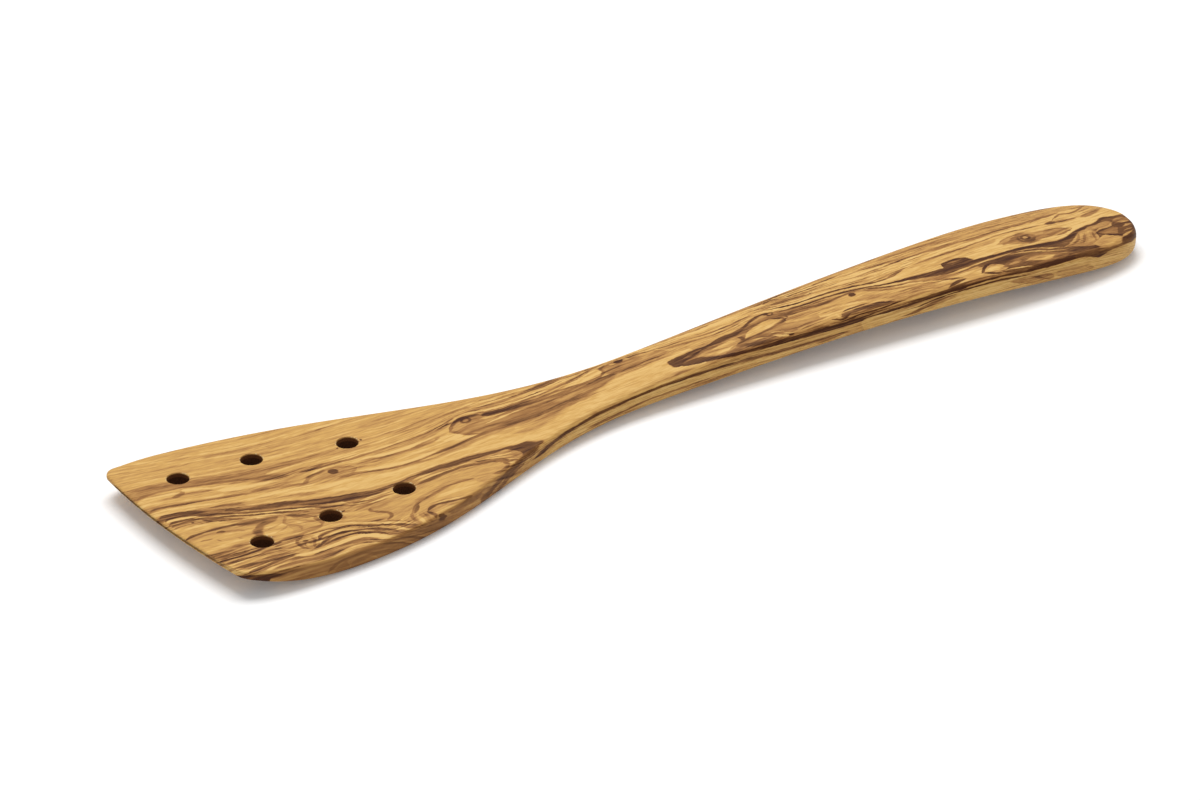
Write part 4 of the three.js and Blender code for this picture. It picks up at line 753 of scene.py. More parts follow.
# Blade end of the handle: a dark patch with a blunt point, and pale islands in it.
start_of_handle = [
    area(0.2, [148, 8.4, 170, 8.6, 190, 9, 210, 9.2, 226, 8.6, 240, 8, 256, 7.6, 272, 8.4, 290, 9.6, 306, 10],
         [148, 6.6, 160, 4.6, 170, 3.4, 180, 4.2, 190, 2.6, 200, 0.2, 212, -0.6, 220, -2.4, 232, -3, 244, -3.6,
         256, -3, 272, 0, 290, 2, 306, 1], 0.8, 0.8),
    area(0.66, [150.8, -3.4, 151.6, -2.2, 153, -1.6, 156, -1.3, 160, -1.1, 164, -1.2, 169, -0.4, 175, 0.2, 180, 1,
         186, 1.8, 192, 1.6, 198, 0.6], [150.8, -4.2, 152.6, -6.2, 156, -7.6, 160, -8.4, 164, -9.2, 170, -10.2,
         176, -11, 184, -11.6, 190, -12.4, 198, -13.2], 0.4, 0.4),
    area(0.38, [189, -1.4, 194, -1.8, 200, -2.2, 206, -2.2, 211, -1.4, 216, -1.6, 219, -3, 223, -5, 228, -6.8,
         234, -8.6, 240, -10.6], [189, -4.6, 194, -6.4, 200, -6.8, 204, -7.4, 208, -7.6, 213, -8, 217, -9.2,
         221, -11, 226, -11.8, 232, -12.4, 240, -12.6], 0.6, 0.7),
    line(0.44, 1.3, 189, -3.6, 196, -4.2, 203, -4, 210, -4.3, 216, -5.2, 222, -7),
    line(0.04, 0.9, 197, -5.7, 202, -5.5, 207, -5.7, 212, -6.6, 217, -8),
    area(0.92, [150.8, -3.4, 151.6, -2.2, 153, -1.6, 156, -1.3, 160, -1.1, 164, -1.2, 167, -0.7, 169, -0.1,
         172, 0.1, 175, 0.3, 178, 1.1, 180, 1.9, 182, 2.9, 184, 3.4, 187, 3.5, 189, 3.2, 190.4, 2.2], [150.8, -4.2,
         152, -5.8, 154, -5.6, 157, -4.8, 160, -4.1, 162, -3.2, 166, -2.7, 170, -2.6, 173, -2.4, 175, -2, 178, -0.7,
         180, 0.3, 182, 1.2, 184, 1.9, 186, 2.2, 188, 1.4, 190.4, 2], 0.35, 0.7),
    upright(0.9, 1.5, -7, 152.6, -5.6, 151.6, -4, 151.3, -2.4, 151.8, -1.2, 153.4),
    line(0.68, 0.6, 154, -3.6, 157, -3.2, 160, -2.6, 164, -2.2),
    area(0.42, [158.6, -4.8, 162, -3.6, 166, -3, 170, -3, 173.4, -3], [158.6, -5.2, 162, -6.4, 165, -7.8, 168, -8.4,
         171, -7, 173.4, -5.4], 0.5, 0.7),
    line(0.14, 1, 163, -4.4, 167, -3.9, 171, -3.8, 174, -4.2),
    line(0.16, 0.7, 163, -6.2, 166, -6.6, 169, -6.4, 171.4, -5.6),
    area(0.72, [167, -7.6, 170, -6.3, 175, -5.9, 180, -5.7, 183, -6.4, 186, -8, 188, -10], [167, -9, 172, -10.2,
         176, -10.6, 180, -10.8, 184, -11, 188, -11.2], 0.4, 0.5),
    line(0.88, 1.3, 169.4, -6.5, 172, -7.4, 175, -8.8, 179, -9.6, 184, -10.2),
    line(0.42, 0.5, 174, -6.8, 178, -7.4, 182, -8.6),
    area(0.68, [185, -6.8, 188, -6.3, 192, -6.4, 196, -6.9, 201, -7.8], [185, -7.4, 188, -8.6, 192, -9.1, 196, -9.3,
         201, -8.6], 0.5, 0.5),
    area(0.46, [188, -9.6, 191, -9.3, 196, -9.4, 202, -9.6], [188, -10.8, 191, -12, 196, -12.7, 202, -12.4], 0.4,
         0.4),
    line(0.76, 0.6, 188, -10.2, 192, -9.9, 196, -9.7, 201, -9.4),
    line(0.12, 0.8, 181.2, -7.6, 183.4, -9, 185.4, -10.3, 187.4, -11.2),
    line(0.16, 0.6, 184.4, -8.4, 186.6, -9.5, 189, -10.7),
    line(0.14, 0.6, 180.6, -6.3, 184, -7, 187.6, -8.2),
    knot(1.01, 186.6, -10.7, 0.9, 0.5),
    line(0.66, 0.5, 160, -4.8, 163, -5, 167, -5.3, 171, -6.2),
    line(0.68, 0.5, 160.6, -4, 164, -3.6, 168, -3.3, 172, -3.2),
    line(0.62, 0.5, 162.6, -7, 166, -7.4, 169, -7.3, 172, -6.6),
    line(0.94, 0.7, 171, -8.6, 175, -9.5, 180, -10.2, 186, -11),
    line(0.84, 0.5, 175, -6.5, 179, -7, 183.6, -8.2),
    line(0.84, 0.5, 186, -8, 191, -8.3, 196, -8.3, 202, -8.2),
    line(0.8, 0.6, 189, -11.2, 194, -11.2, 200, -11.4),
    upright(0.8, 1, -6.4, 173.6, -5, 174.5, -3.6, 174.5, -2, 173.4),
    area(0.1, [175.2, -4.6, 176.4, -3, 178, -2, 180, -1.2, 182, -0.6, 185, -0.2, 186.4, -0.2, 188, -1.4,
         188.8, -2.4], [175.2, -5, 178, -5, 181, -4.6, 184, -4.2, 187, -3.4, 188.8, -2.8], 0.35, 0.35),
    area(0.68, [185.6, 1.6, 188, 1.4, 190, 3, 192, 2.2, 194, 1.4, 198, 0.7], [185.6, 0.6, 188, -0.4, 190, -1.2,
         192, -1.4, 194, -0.9, 198, -0.4], 0.4, 0.5),
    line(0.84, 0.7, 169.6, -6.6, 173, -5.8, 176, -5.5, 180, -5.2, 184, -4.6, 187, -3.9, 189.4, -3.2, 191.4, -2),
    upright(0.82, 0.7, -3.6, 189.9, -2, 189.5, -0.8, 188.2, 0.3, 186.4),
    upright(0.76, 0.6, -3.2, 190.6, -1.8, 191.1, -0.4, 190.6),
    knot(0.92, 188.4, 2.2, 1.2, 0.9, 0.6),
    line(0.66, 0.6, 192, 0, 198, -0.4, 204, -0.4, 210, -0.4),
    line(0.08, 0.5, 194, 2, 200, 1.7, 207, 1.5, 214, 1.1, 219, 0.1, 224, -1.2),
    line(0.9, 0.8, 189, 2.3, 194, 1.2, 199, 0.8, 206, 0.6, 212, 0.3, 216, -0.1, 220, -1, 225, -2.4, 230, -3.1,
         236, -3.5, 244, -3.8),
    line(0.88, 0.7, 188, 4.4, 194, 3.3, 199, 2.7, 206, 2.4, 212, 2.1, 217, 1.5, 221, 0.6, 225, -0.1, 229, 0.2,
         232, 0.9, 236, 1.8),
    line(0.76, 0.8, 192, -0.9, 198, -1.3, 205, -1.7, 211, -1.1, 216, -0.9, 219, -2.2, 223, -4),
    area(0.64, [215, -0.4, 219, -1.2, 223, -2.4, 227, -3.6], [215, -0.9, 219, -2.8, 223, -4.6, 227, -4.6], 0.4,
         0.6),
    line(0.08, 0.6, 220, -1.9, 225, -3.3, 230, -4.2, 236, -4.9),
    knot(1.0, 213.8, -2.2, 1.3, 0.9),
    upright(0.1, 1, -11, 203.2, -9.4, 203.2, -7.8, 203.9),
    area(0.8, [204.2, -10, 205, -8.8, 207, -8.2, 210, -8.2, 214, -8.6, 217, -9.4, 220, -11, 222, -12],
         [204.2, -11.6, 207, -12, 211, -12.4, 216, -12.6, 222, -12.3], 0.35, 0.35),
    line(0.98, 0.8, 204, -9.2, 207, -8.5, 211, -8.6, 215, -9.3, 219, -10.9, 222.8, -12.2),
    line(0.96, 0.7, 207, -9.8, 211, -9.7, 215, -10.5, 218, -11.4),
    line(0.96, 0.9, 199.6, -10, 201.4, -11.2, 203.4, -12, 205.4, -11.4, 208, -10.4),
    line(0.62, 0.6, 206, -11.2, 211, -11.4, 217, -11.9),
    line(0.9, 0.6, 199, -13, 204, -13, 209, -12.8, 215, -13.2, 221, -13, 229, -12.9),
    area(0.97, [151.2, -5, 154, -5.2, 157, -5, 160, -5.4, 162, -6.5, 164, -7.5, 167, -8.5, 170, -9.4, 174, -10.2,
         178, -10.7, 184, -11.1, 188, -12, 192, -12.6, 196, -13, 200, -13.3, 206, -13.4, 214, -13.6, 222, -13.9,
         232, -14.3, 244, -15.2], [151.2, -5.4, 153, -6.8, 156, -7.8, 160, -8.8, 164, -9.9, 168, -10.9, 172, -11.7,
         176, -12.3, 180, -13.2, 184, -14, 188, -14.6, 192, -15, 196, -15.4, 200, -15.9, 206, -16.3, 214, -16.6,
         222, -16.5, 232, -16.4, 244, -16.6], 0.45, 0.3),
    line(0.5, 0.4, 201, -13.9, 205, -13.7, 210, -13.9, 216, -14.1),
    line(0.66, 0.4, 204, -14.9, 212, -14.8, 220, -15, 230, -15.1),
    line(0.6, 0.4, 212, -14.2, 219, -14.3, 227, -14.4, 236, -14.8),
    *(line(0.62, 0.45, 180 + 4 * rise, 5.2 + rise, 190, 4.9 + rise, 200, 3.9 + 0.95 * rise, 210, 3.4 + 0.9 * rise,
         218, 2.9 + 0.9 * rise, 234 - 2 * rise, 2.2 + 0.95 * rise) for rise in (0, 0.8, 1.7, 2.5, 3.4)),
    line(0.5, 0.6, 197, 7.8, 208, 7.4, 218, 7.2, 227, 7),
    line(0.02, 0.5, 206, 8, 213, 7.8, 220, 7.5, 227, 6.8, 233, 6.1, 238, 6.2),
    line(0.54, 0.5, 205, 8.6, 216, 8.3, 224, 8.2),
    line(0.5, 0.5, 196, 6.6, 206, 6.1, 216, 5.9, 226, 5.7),
    line(0.5, 0.5, 198, 5, 208, 4.6, 217, 4.2, 225, 3.8),
    line(0.04, 0.6, 198, 3.7, 206, 3.4, 214, 3, 220, 2),
    line(0.04, 0.6, 198, 5.7, 208, 5.3, 218, 5, 225, 4.6),
]

# Grip: bright wood above, a broad dark band with islands below, and an eye. The near wall is painted pale: painted
# light.
grip = [
    area(0.46, [214, 11.4, 240, 14, 270, 15, 300, 14.6, 312, 11], [214, 10, 228, 9, 240, 8.4, 256, 8, 270, 8.6,
         284, 9.2, 300, 10, 312, 10.6], 1, 1.2),
    line(0.68, 1, 220, 8.7, 230, 8, 238, 7.4, 246, 7.1, 252, 6.9, 257, 7.4, 264, 7.2, 270, 7.6, 278, 8.2, 286, 8.6,
         294, 9.2, 303, 9.7),
    line(0.62, 0.6, 228, 10.2, 244, 10.6, 258, 10.4, 270, 10.5, 288, 10.9),
    line(0.3, 0.7, 240, 9.5, 250, 9, 258, 8.6, 266, 9.2, 276, 9.6),
    line(0.62, 0.9, 219, 5.3, 225, 4.9, 230, 4.9, 235, 4.4),
    line(0.02, 0.7, 226, 3.4, 231, 3.1, 236, 2.9, 241, 3.1),
    line(0.72, 0.5, 229, 2.1, 233, 2, 237, 2.4, 241, 2.6),
    line(0.72, 0.8, 226, -0.2, 229, 0.4, 232.4, 1.3, 236, 2),
    area(0.36, [236, 2.4, 244, 3, 250, 3.4, 258, 3.6, 264, 4, 270, 4.8], [236, 1.4, 244, 1.9, 250, 2.3, 256, 2,
         262, 1.6, 270, 2.4], 0.4, 0.5),
    line(0.74, 0.8, 236, 2.4, 243, 3, 248, 3.3, 253, 3.6, 258, 3.8, 263, 4.3, 268, 5, 273, 5.5, 278, 5.6, 284, 5.4,
         292, 5.2),
    line(0.04, 1.1, 238, 3.8, 247, 4.4, 253, 4.8, 259, 5, 266, 5.6, 272, 6.3, 279, 6.5, 286, 6.3, 292, 6.6),
    area(0.1, [224, -0.6, 228, -0.4, 232, -0.2, 236, 0.8, 240, 1.4, 245, 1.8, 250, 2.2, 256, 1.8, 262, 1.4,
         268, 1.2, 276, 4, 284, 4.4, 292, 3.4, 300, 3.6, 308, 4, 318, 5], [224, -1.2, 230, -2.2, 236, -2.9,
         242, -3.3, 250, -4, 258, -4, 266, -4.4, 276, -4.7, 283, -5, 290, -4.6, 296, -2.5, 304, -1.2, 318, -0.5],
         0.5, 0.4),
    area(0.87, [230, -3.4, 238, -3.9, 246, -4.2, 254, -4.2, 262, -4.5, 270, -4.6, 277, -4.8, 282, -5.2, 287, -5.6,
         291, -5, 294, -3.8, 297, -2.7, 300, -2, 303, -1.7, 306, -1.1, 308, -0.1, 310, 0.5, 312, -0.2, 314, 0.2,
         318, -1], [230, -4, 236, -5.6, 242, -6.8, 248, -7.6, 254, -8, 257, -12, 262, -17, 270, -18, 280, -18,
         290, -17.4, 300, -17.4, 308, -16, 318, -13], 0.3, 0.5),
    area(0.3, [225, -7, 234, -8.8, 241, -9.6, 247, -9, 254, -8.8, 257, -8.6], [225, -11.4, 234, -12.6, 241, -12,
         247, -12.2, 252, -12.8, 257, -12.4], 0.6, 0.6),
    line(0.54, 0.6, 223, -11, 229, -10.6, 235, -11.4, 240, -13),
    line(0.66, 0.8, 221, -13.2, 227, -12.5, 232, -12.4, 238, -13.6),
    line(0.12, 0.6, 226, -11.7, 232, -11.6, 238, -13),
    line(0.9, 0.8, 216, -0.6, 221, -2.6, 225, -4.2, 229, -5.2, 233, -6.4, 237, -8, 241, -9.4, 245, -10.6, 248, -12),
    line(0.72, 0.6, 226, -4.4, 231, -5.6, 236, -7.2, 241, -8.8),
    line(0.74, 0.7, 215.6, -1.2, 220, -3.4, 224, -5.4, 228, -6.7, 233, -7.8),
    line(0.1, 0.6, 224, -4.6, 229, -5.8, 234, -7, 239, -8.6, 243, -9.8),
    line(0.6, 0.5, 222, -8, 229, -8.4, 236, -9.6, 242, -11),
    line(0.56, 0.5, 222, -9.8, 230, -9.6, 237, -10.6, 242, -12),
    area(0.68, [240, -13.4, 243, -11.8, 245.4, -11.3, 247.8, -12], [240, -14.4, 243, -13.6, 245.4, -12.8,
         247.8, -12.2], 0.4, 0.4),
    line(0.94, 1.1, 238, -14.4, 241, -13.2, 244.4, -12.4, 248.4, -11.9),
    area(0.84, [230, -14.2, 238, -14, 246, -13.4, 252, -13.4, 257, -14.4, 262, -15, 270, -15.6], [230, -15,
         240, -16, 250, -16.4, 260, -17, 270, -17.4], 0.5, 0.4),
    line(0.62, 0.7, 242, -15, 248, -14.7, 253, -14.9, 258, -15.3, 265, -16),
    line(1.01, 0.8, 230, -15.2, 240, -15.7, 248, -15.9, 256, -16.3, 262, -17, 270, -17.6),
    area(0.88, [245.2, -3.8, 246, -1.4, 247.2, -0.6, 250, -0.4, 253, -0.4, 255, -0.9, 255.9, -1.4, 256.6, -4],
         [245.2, -4, 250, -5.6, 256.6, -4.4], 0.4, 0.5),
    line(0.7, 0.7, 246.8, -2.4, 249.6, -1.7, 252, -1.9, 255, -1.5),
    line(0.74, 0.5, 247.4, -3.4, 250.6, -2.9, 254.6, -3.2),
    line(0.98, 1.2, 224, -2.4, 232, -3.4, 240, -3.9, 246, -4.4, 252, -4.9, 258, -4.7, 264, -4.8, 270, -4.8,
         277, -5.2, 283, -5.9, 288, -6, 291.5, -5, 295, -3.4, 299, -2.2, 304, -1.7, 306.4, -1, 308, 0, 310, 0.4,
         312, -0.3, 318, -1),
    line(0.38, 0.6, 241, -7.8, 247, -7.3, 253, -6.8, 259, -6.2, 265, -5.9, 272, -5.5),
    line(0.86, 0.6, 243, -8.4, 249, -8, 255, -7.4, 260, -6.9),
    line(0.36, 0.5, 268, -5.6, 274, -6, 278, -7, 282, -8.6, 288, -10),
    line(0.4, 0.5, 264, -6.2, 271, -6.8, 276, -8.1, 281, -10, 287, -11.6),
    line(0.44, 0.4, 275, -6.2, 279.4, -7.4, 284, -9),
    area(0.4, [254.6, -11.2, 256.6, -9.6, 258.6, -8.7, 260.6, -9.2, 262.4, -11], [254.6, -11.8, 257, -13,
         259.6, -13.7, 262.4, -12.6], 0.35, 0.35),
    area(0.2, [256, -10.8, 257.4, -9.7, 259, -9.6, 260, -10.6], [256, -11.4, 257.4, -12.4, 259, -12.8, 260, -12],
         0.5, 0.6),
    line(0.96, 1, 252.4, -12, 254.4, -10.7, 256, -9.3, 258, -8.3, 262, -7.8),
    line(0.96, 1, 252.4, -11.2, 255, -12.4, 257, -13.8, 261, -14.6),
    area(0.78, [262, -10.8, 264, -9.6, 268, -9, 274, -8.8, 280, -9.8, 284, -11.6, 286.6, -13.4], [262, -12.4,
         265, -13.6, 270, -14.6, 276, -15, 282, -14.8, 286.6, -13.6], 0.5, 0.5),
    area(0.42, [268.6, -11.9, 271, -10.9, 275, -10.6, 279.8, -12], [268.6, -12.3, 272, -13, 276, -14.4, 279.8, -13],
         0.5, 0.6),
    line(0.68, 0.6, 271, -12, 274.6, -12, 278, -13),
    area(0.52, [263.6, -11, 266, -10.4, 268.4, -10.8], [263.6, -11.8, 266, -12.2, 268.4, -11.4], 0.5, 0.5),
    line(0.92, 0.6, 279, -9.8, 283, -11.8, 287, -13.8),
    line(0.5, 0.5, 281, -11.4, 284, -12.8, 287, -14),
    line(0.2, 0.5, 258, -13.9, 262, -13.9, 266, -14.7, 271, -15.5),
    area(1.01, [265, -16.8, 270, -15.7, 275, -15.3, 280, -15.2, 284, -14.8, 288, -15.4, 292, -16], [265, -17.4,
         271, -18.2, 277, -18.3, 283, -17.8, 288, -17.4, 292, -17], 0.5, 0.5),
    area(0.46, [286, -9.4, 289, -8.4, 292, -6.4, 295, -4.4, 298, -3.2, 300.6, -3.8, 301.4, -5], [286, -10.4,
         290, -11.6, 294, -13.4, 297, -12, 299.6, -9.6, 301.4, -6], 0.5, 0.5),
    line(0.36, 0.8, 290, -10.2, 293.4, -8, 296, -5.6, 298.4, -3.6),
    line(0.34, 0.8, 293.6, -11, 296.4, -8.4, 298.4, -6, 300.4, -4),
    line(0.66, 0.8, 288.6, -9.6, 292, -8.1, 294.4, -6.2, 297, -4),
    line(0.66, 0.7, 291, -11.6, 294, -9, 296.4, -6.6, 299, -4),
    line(0.7, 0.8, 295.8, -11.6, 298, -9.2, 299.4, -7, 301, -4.8),
    area(0.22, [294.4, -12, 297, -11, 300, -9.4, 302.6, -8.8, 304, -9.8, 306.6, -11.4], [294.4, -13, 296, -15.6,
         300, -16, 304, -15, 306.6, -12.2], 0.4, 1.2),
    area(0.5, [295, -14.2, 299, -14.2, 304, -13.6], [295, -15.4, 299, -16.2, 304, -15.2], 0.8, 0.5),
    area(0.54, [300, -2.6, 304, -2.2, 308, -1.4, 309.6, -2], [300, -4.4, 304, -4.6, 307, -4.8, 309.6, -4], 0.5,
         0.5),
    area(0.7, [301.6, -6.8, 303, -5.9, 306, -5.6, 308.6, -5.4], [301.6, -7.2, 304, -8.8, 306.6, -9.8, 308.6, -8],
         0.4, 0.5),
    line(0.3, 0.7, 300.4, -6.4, 303, -5.2, 306, -4.9, 308.2, -4.5, 310, -2.6),
    line(0.98, 0.9, 300.4, -6.6, 302.4, -8.3, 304.4, -9.8, 306.6, -10.8, 310, -11.4),
    line(0.84, 0.6, 300.2, -7, 302.8, -6, 306, -5.6, 309.4, -4.8),
    area(0.64, [310.4, -2.4, 312.6, -1.4, 316.4, -2], [310.4, -3.6, 312.6, -5, 316.4, -4.6], 0.5, 0.8),
    line(0.3, 0.7, 303.6, -13, 307, -11.8, 310.6, -10.6, 314, -9.6),
    line(0.4, 1, 310.6, -7, 313, -6.4, 315.6, -6.6),
    line(0.36, 0.8, 311, -3.4, 313.6, -4.2, 316.4, -5),
    line(0.5, 0.9, 309, -9.4, 311.6, -8.6, 314.4, -8.6),
    area(0.54, [267.4, 0.4, 271, 2, 275, 3.1, 279, 3.6, 284, 2.8, 288, 2.2, 292, 1.6, 296, 0.4, 297.6, -0.4],
         [267.4, 0.2, 271, -0.8, 275, -2, 279, -3.2, 284, -2.8, 288, -2.6, 292, -2.2, 296, -1, 297.6, -0.6], 0.5,
         0.5),
    area(0.8, [272.6, 0.8, 276, 2.6, 278.6, 3.4, 281, 2.8, 283.4, 1], [272.6, 0.4, 276, -1.6, 278.6, -3, 281, -2.6,
         283.4, 0.4], 0.6, 0.6),
    area(0.64, [287, 1.6, 291, 1.2, 296, 0], [287, -2.2, 291, -2, 296, -0.8], 0.6, 0.6),
    line(0.8, 0.7, 286, 2, 291.6, 1.4, 294.6, 0.6, 298, -0.7),
    line(0.8, 0.7, 286, -2.6, 292, -2.1, 295, -1.4, 298, -0.3),
    line(0.72, 0.5, 268, 0.3, 272, 2, 276, 3, 280, 3.4, 286, 2.6),
    line(0.68, 0.5, 270, -0.4, 274, -1.8, 279, -3.1, 285, -2.7),
    upright(0.9, 0.7, -2, 278, -0.4, 277, 1, 277.1, 2.4, 278.4),
    knot(0.96, 279.5, 0.5, 1.7, 1.5, 0.6),
    line(0.04, 0.8, 268, 2.4, 274, 3.9, 280, 4.6, 286, 4.2, 293, 3),
    knot(0.86, 293, 5, 2.2, 1),
    line(0.74, 0.8, 285, 7.6, 291, 8.6, 296, 9.2, 303, 9.9),
    line(0.76, 0.7, 293.6, 5.6, 296.6, 7.4, 299.6, 8.4, 303, 7.7, 306, 8.2, 309, 9.4, 313, 10.2),
    area(0.64, [295.4, 5.6, 299, 5.4, 302.4, 5], [295.4, 3.8, 299, 3.4, 302.4, 4], 0.5, 0.6),
    area(0.64, [304, 4.6, 308, 5.8, 313, 6], [304, 3.6, 307, 3.1, 313, 5.2], 0.5, 0.6),
    line(0.02, 0.7, 295.6, 6.2, 299, 6.4, 303, 6.2, 308, 6.9, 314, 7.6),
    line(0.68, 0.6, 303, 7, 308, 7.6, 313, 8.4),
    # The near wall of the grip, painted pale: painted light, lifting a wall that faces away from the lamp.
    area(0.2, [206, -17, 220, -17, 232, -17, 238, -17.2, 246, -18.2, 256, -18.8, 264, -19.4, 276, -19, 286, -18.4,
         302, -18, 318, -14], [206, -44, 318, -44], 0.5, 1),
    area(0.92, [285, -15.4, 288, -14.8, 292, -15.2, 296, -16.6, 300, -17, 306, -16.8], [285, -17.6, 288, -18.2,
         291, -19.6, 294, -19.2, 297, -18, 306, -17.2], 0.5, 0.5),
    line(0.22, 0.4, 240, -16.8, 248, -16.7, 255, -17.1, 262, -17.9, 269, -18.7),
    line(0.94, 0.7, 222, -18.2, 230, -17.5, 238, -17.2, 246, -17.4, 253, -17.8, 260, -18.5, 270, -19.6),
    line(0.26, 0.4, 228, -17, 236, -16.7, 244, -16.9),
    line(0.78, 1.3, 216, -20.6, 223, -20.2, 228, -19.2, 234, -18.4, 243, -17.9),
    line(0.5, 0.9, 224, -21, 230, -20.2, 236, -19, 242, -18.4),
    area(0.04, [239, -20.6, 243, -18.9, 249, -18.5, 255, -19.2, 259.6, -21], [239, -21, 243, -22.2, 250, -23,
         255, -23, 259.6, -21.6], 0.6, 0.8),
    area(0.6, [258, -19.8, 262, -19.4, 267, -20, 272, -21], [258, -21, 262, -24, 267, -24.4, 272, -24], 0.8, 0.8),
    line(0.8, 0.8, 264, -19.6, 266.6, -21.2, 269, -23, 273, -25),
    line(0.04, 0.6, 220, -20.9, 228, -21.6, 238, -22.8, 250, -23.9, 262, -24.7, 274, -25.1),
    area(0.46, [274, -21, 280, -20.4, 287, -22], [274, -24.6, 280, -25.4, 287, -24.6], 1.2, 1),
]

# The ground under the marks, and the fine lines over them. The streaks of pores are stronger on the handle, and end
# grain shows darker where the board is cut across, at its two ends. The near wall of the blade is darker too: partly
# end grain, partly painted shade, as that wall faces away from the lamp.
GROUND_SHADE = 0.38
BAND_DEPTH, HAIRLINE_DEPTH, FLECK_DEPTH = 0.6, 1.5, 0.42
full = Field(nodes.new("ShaderNodeValue").outputs[0])
full.socket.default_value = 1
strong = marked("smooth_places", smooth_places, along, across, full)
ground = bands * BAND_DEPTH * strong + GROUND_SHADE
streak_depth = rising(from_front, 90, 130, 0.25, 0.95)
lines = hairlines * HAIRLINE_DEPTH * strong + flecks * FLECK_DEPTH + streaks * streak_depth
facing = nodes.new("ShaderNodeSeparateXYZ")
link(given.outputs["Facing"], facing.inputs[0])
to_ends, to_side, _ = (Field(socket) for socket in facing.outputs)
# First term: end grain at the board's two ends. Second: the blade's near wall, darkened as painted shade and end
# grain.
end_grain_and_wall_shade = rising(to_ends * to_ends, 0.25, 0.7) * rising(from_front, 20, 60, 0.05, 0.4) + (
    rising(to_side * -1, 0.5, 0.8) * rising(from_front, 11, 18) * rising(from_front, 60, 112, 0.62, 0))
given_out = nodes.new("NodeGroupOutput")
for socket, value in zip(given_out.inputs, (along, across, ground, lines, end_grain_and_wall_shade)):
    link(value.socket, socket)

# The oiled wood itself, coloured by shade from bright sapwood to the darkest heartwood. The figure is too rich for
# one material, so the board has one for each stretch of its length, with the marks that reach into that stretch.
COLOURS = [(0, (0.71, 0.453, 0.158)), (0.2, (0.612, 0.354, 0.1)), (0.42, (0.5, 0.268, 0.082)),
           (0.65, (0.335, 0.155, 0.046)), (0.85, (0.142, 0.056, 0.015)), (1, (0.058, 0.016, 0.004))]
END_GRAIN_AND_PAINTED_SHADE_TONE = 0.8
OILED_ROUGHNESS = 0.48
OILED_SHINE = 0.12
STRETCHES = [("front", -20, 18), ("front_holes", 18, 34), ("middle_holes", 34, 50), ("back_holes", 50, 66),
             ("heel", 66, 98), ("neck", 98, 148), ("start_of_handle", 148, 190), ("start_of_grip", 190, 226),
             ("grip", 226, 270), ("end", 270, 340)]
OVERLAP = 4
figure = [*far_side_of_blade, *middle_of_blade, *eyes_of_blade, *near_side_of_blade, *near_edge_of_blade,
          *neck, *start_of_handle, *grip]
for name, start, end in STRETCHES:
    wood = bpy.data.materials.new(f"oiled_olive_wood_{name}")
    wood.use_nodes = True
    nodes, link = wood.node_tree.nodes, wood.node_tree.links.new
    where = nodes.new("ShaderNodeTexCoord")
    board_grain = nodes.new("ShaderNodeGroup")
    board_grain.node_tree = grain
    link(where.outputs["Object"], board_grain.inputs["Place"])
    link(where.outputs["Normal"], board_grain.inputs["Facing"])
    along, across, ground, lines, end_grain_and_wall_shade = (Field(socket) for socket in board_grain.outputs)
    marks = [mark for mark in figure if mark[0] < end + OVERLAP and mark[1] > start - OVERLAP]
    shade = marked(name, marks, along, across, ground)
    shade = laid(shade + lines * rising(shade, 0.35, 0.85, 1.15, 0.5), END_GRAIN_AND_PAINTED_SHADE_TONE, end_grain_and_wall_shade)
    ramp = nodes.new("ShaderNodeValToRGB")
    stops = ramp.color_ramp.elements
    stops[0].position, stops[0].color = COLOURS[0][0], (*COLOURS[0][1], 1)
    stops[1].position, stops[1].color = COLOURS[-1][0], (*COLOURS[-1][1], 1)
    for place, colour in COLOURS[1:-1]:
        stops.new(place).color = (*colour, 1)
    link(shade.socket, ramp.inputs[0])
    oiled = nodes["Principled BSDF"]
    link(ramp.outputs[0], oiled.inputs["Base Color"])
    oiled.inputs["Roughness"].default_value = OILED_ROUGHNESS
    oiled.inputs["Specular IOR Level"].default_value = OILED_SHINE
    board_mesh.materials.append(wood)

# Six drain holes, drilled through the blade with one bit after it was shaped.
# Their walls are dark brown, darkest deep down: painted shade of the holes' depth. Sanding has eased their rims, and
# pale patches on the rims along the grain are partly torn fibres and partly painted highlight.
HOLE_RADIUS = 2.9
HOLE_SIDES = 72
HOLES = [(15.1, 19.3), (35.7, 18.867), (60.7, 13.191), (19.7, -18.612), (40.1, -16.128), (62, -14.637)]
DEEP_WALL_SHADE, SANDED, PALE_RIM, UPPER_WALL_SHADE = range(4)
RAW_ROUGHNESS = 0.75
RAW_SHINE = 0.1
GRAIN_END_FROM, PALE_RIM_FROM, LEAST_EASE = 0.6, 0.7, 0.35
# The drill's rings from above down: the face that each is measured from (1 upper, -1 lower), how far outside that
# face it is, and how much wider than the hole. Then the finish of the wall from each ring to the next.
RINGS_OF_DRILL = [(1, 4, 0.3), (1, 0.02, 0.3), (1, -0.12, 0.1), (1, -0.32, 0), (1, -1.3, 0),
                  (-1, -0.32, 0), (-1, -0.12, 0.1), (-1, 0.02, 0.25), (-1, 4, 0.25)]
# Down the wall, painted shade darkens from the upper wall to the deepest part of the hole.
WALLS = [SANDED, SANDED, SANDED, UPPER_WALL_SHADE, DEEP_WALL_SHADE, SANDED, SANDED, SANDED]
RIM = 1
surface_tree = bvhtree.BVHTree.FromPolygons([v.co.copy() for v in board_mesh.vertices],
                                            [tuple(p.vertices) for p in board_mesh.polygons])


def level(px, py, side):
    """How high the board's upper (side 1) or lower (side -1) face is at a place."""
    hit = surface_tree.ray_cast(Vector((px, py, side)), Vector((0, 0, -side)))[0]
    return hit.z


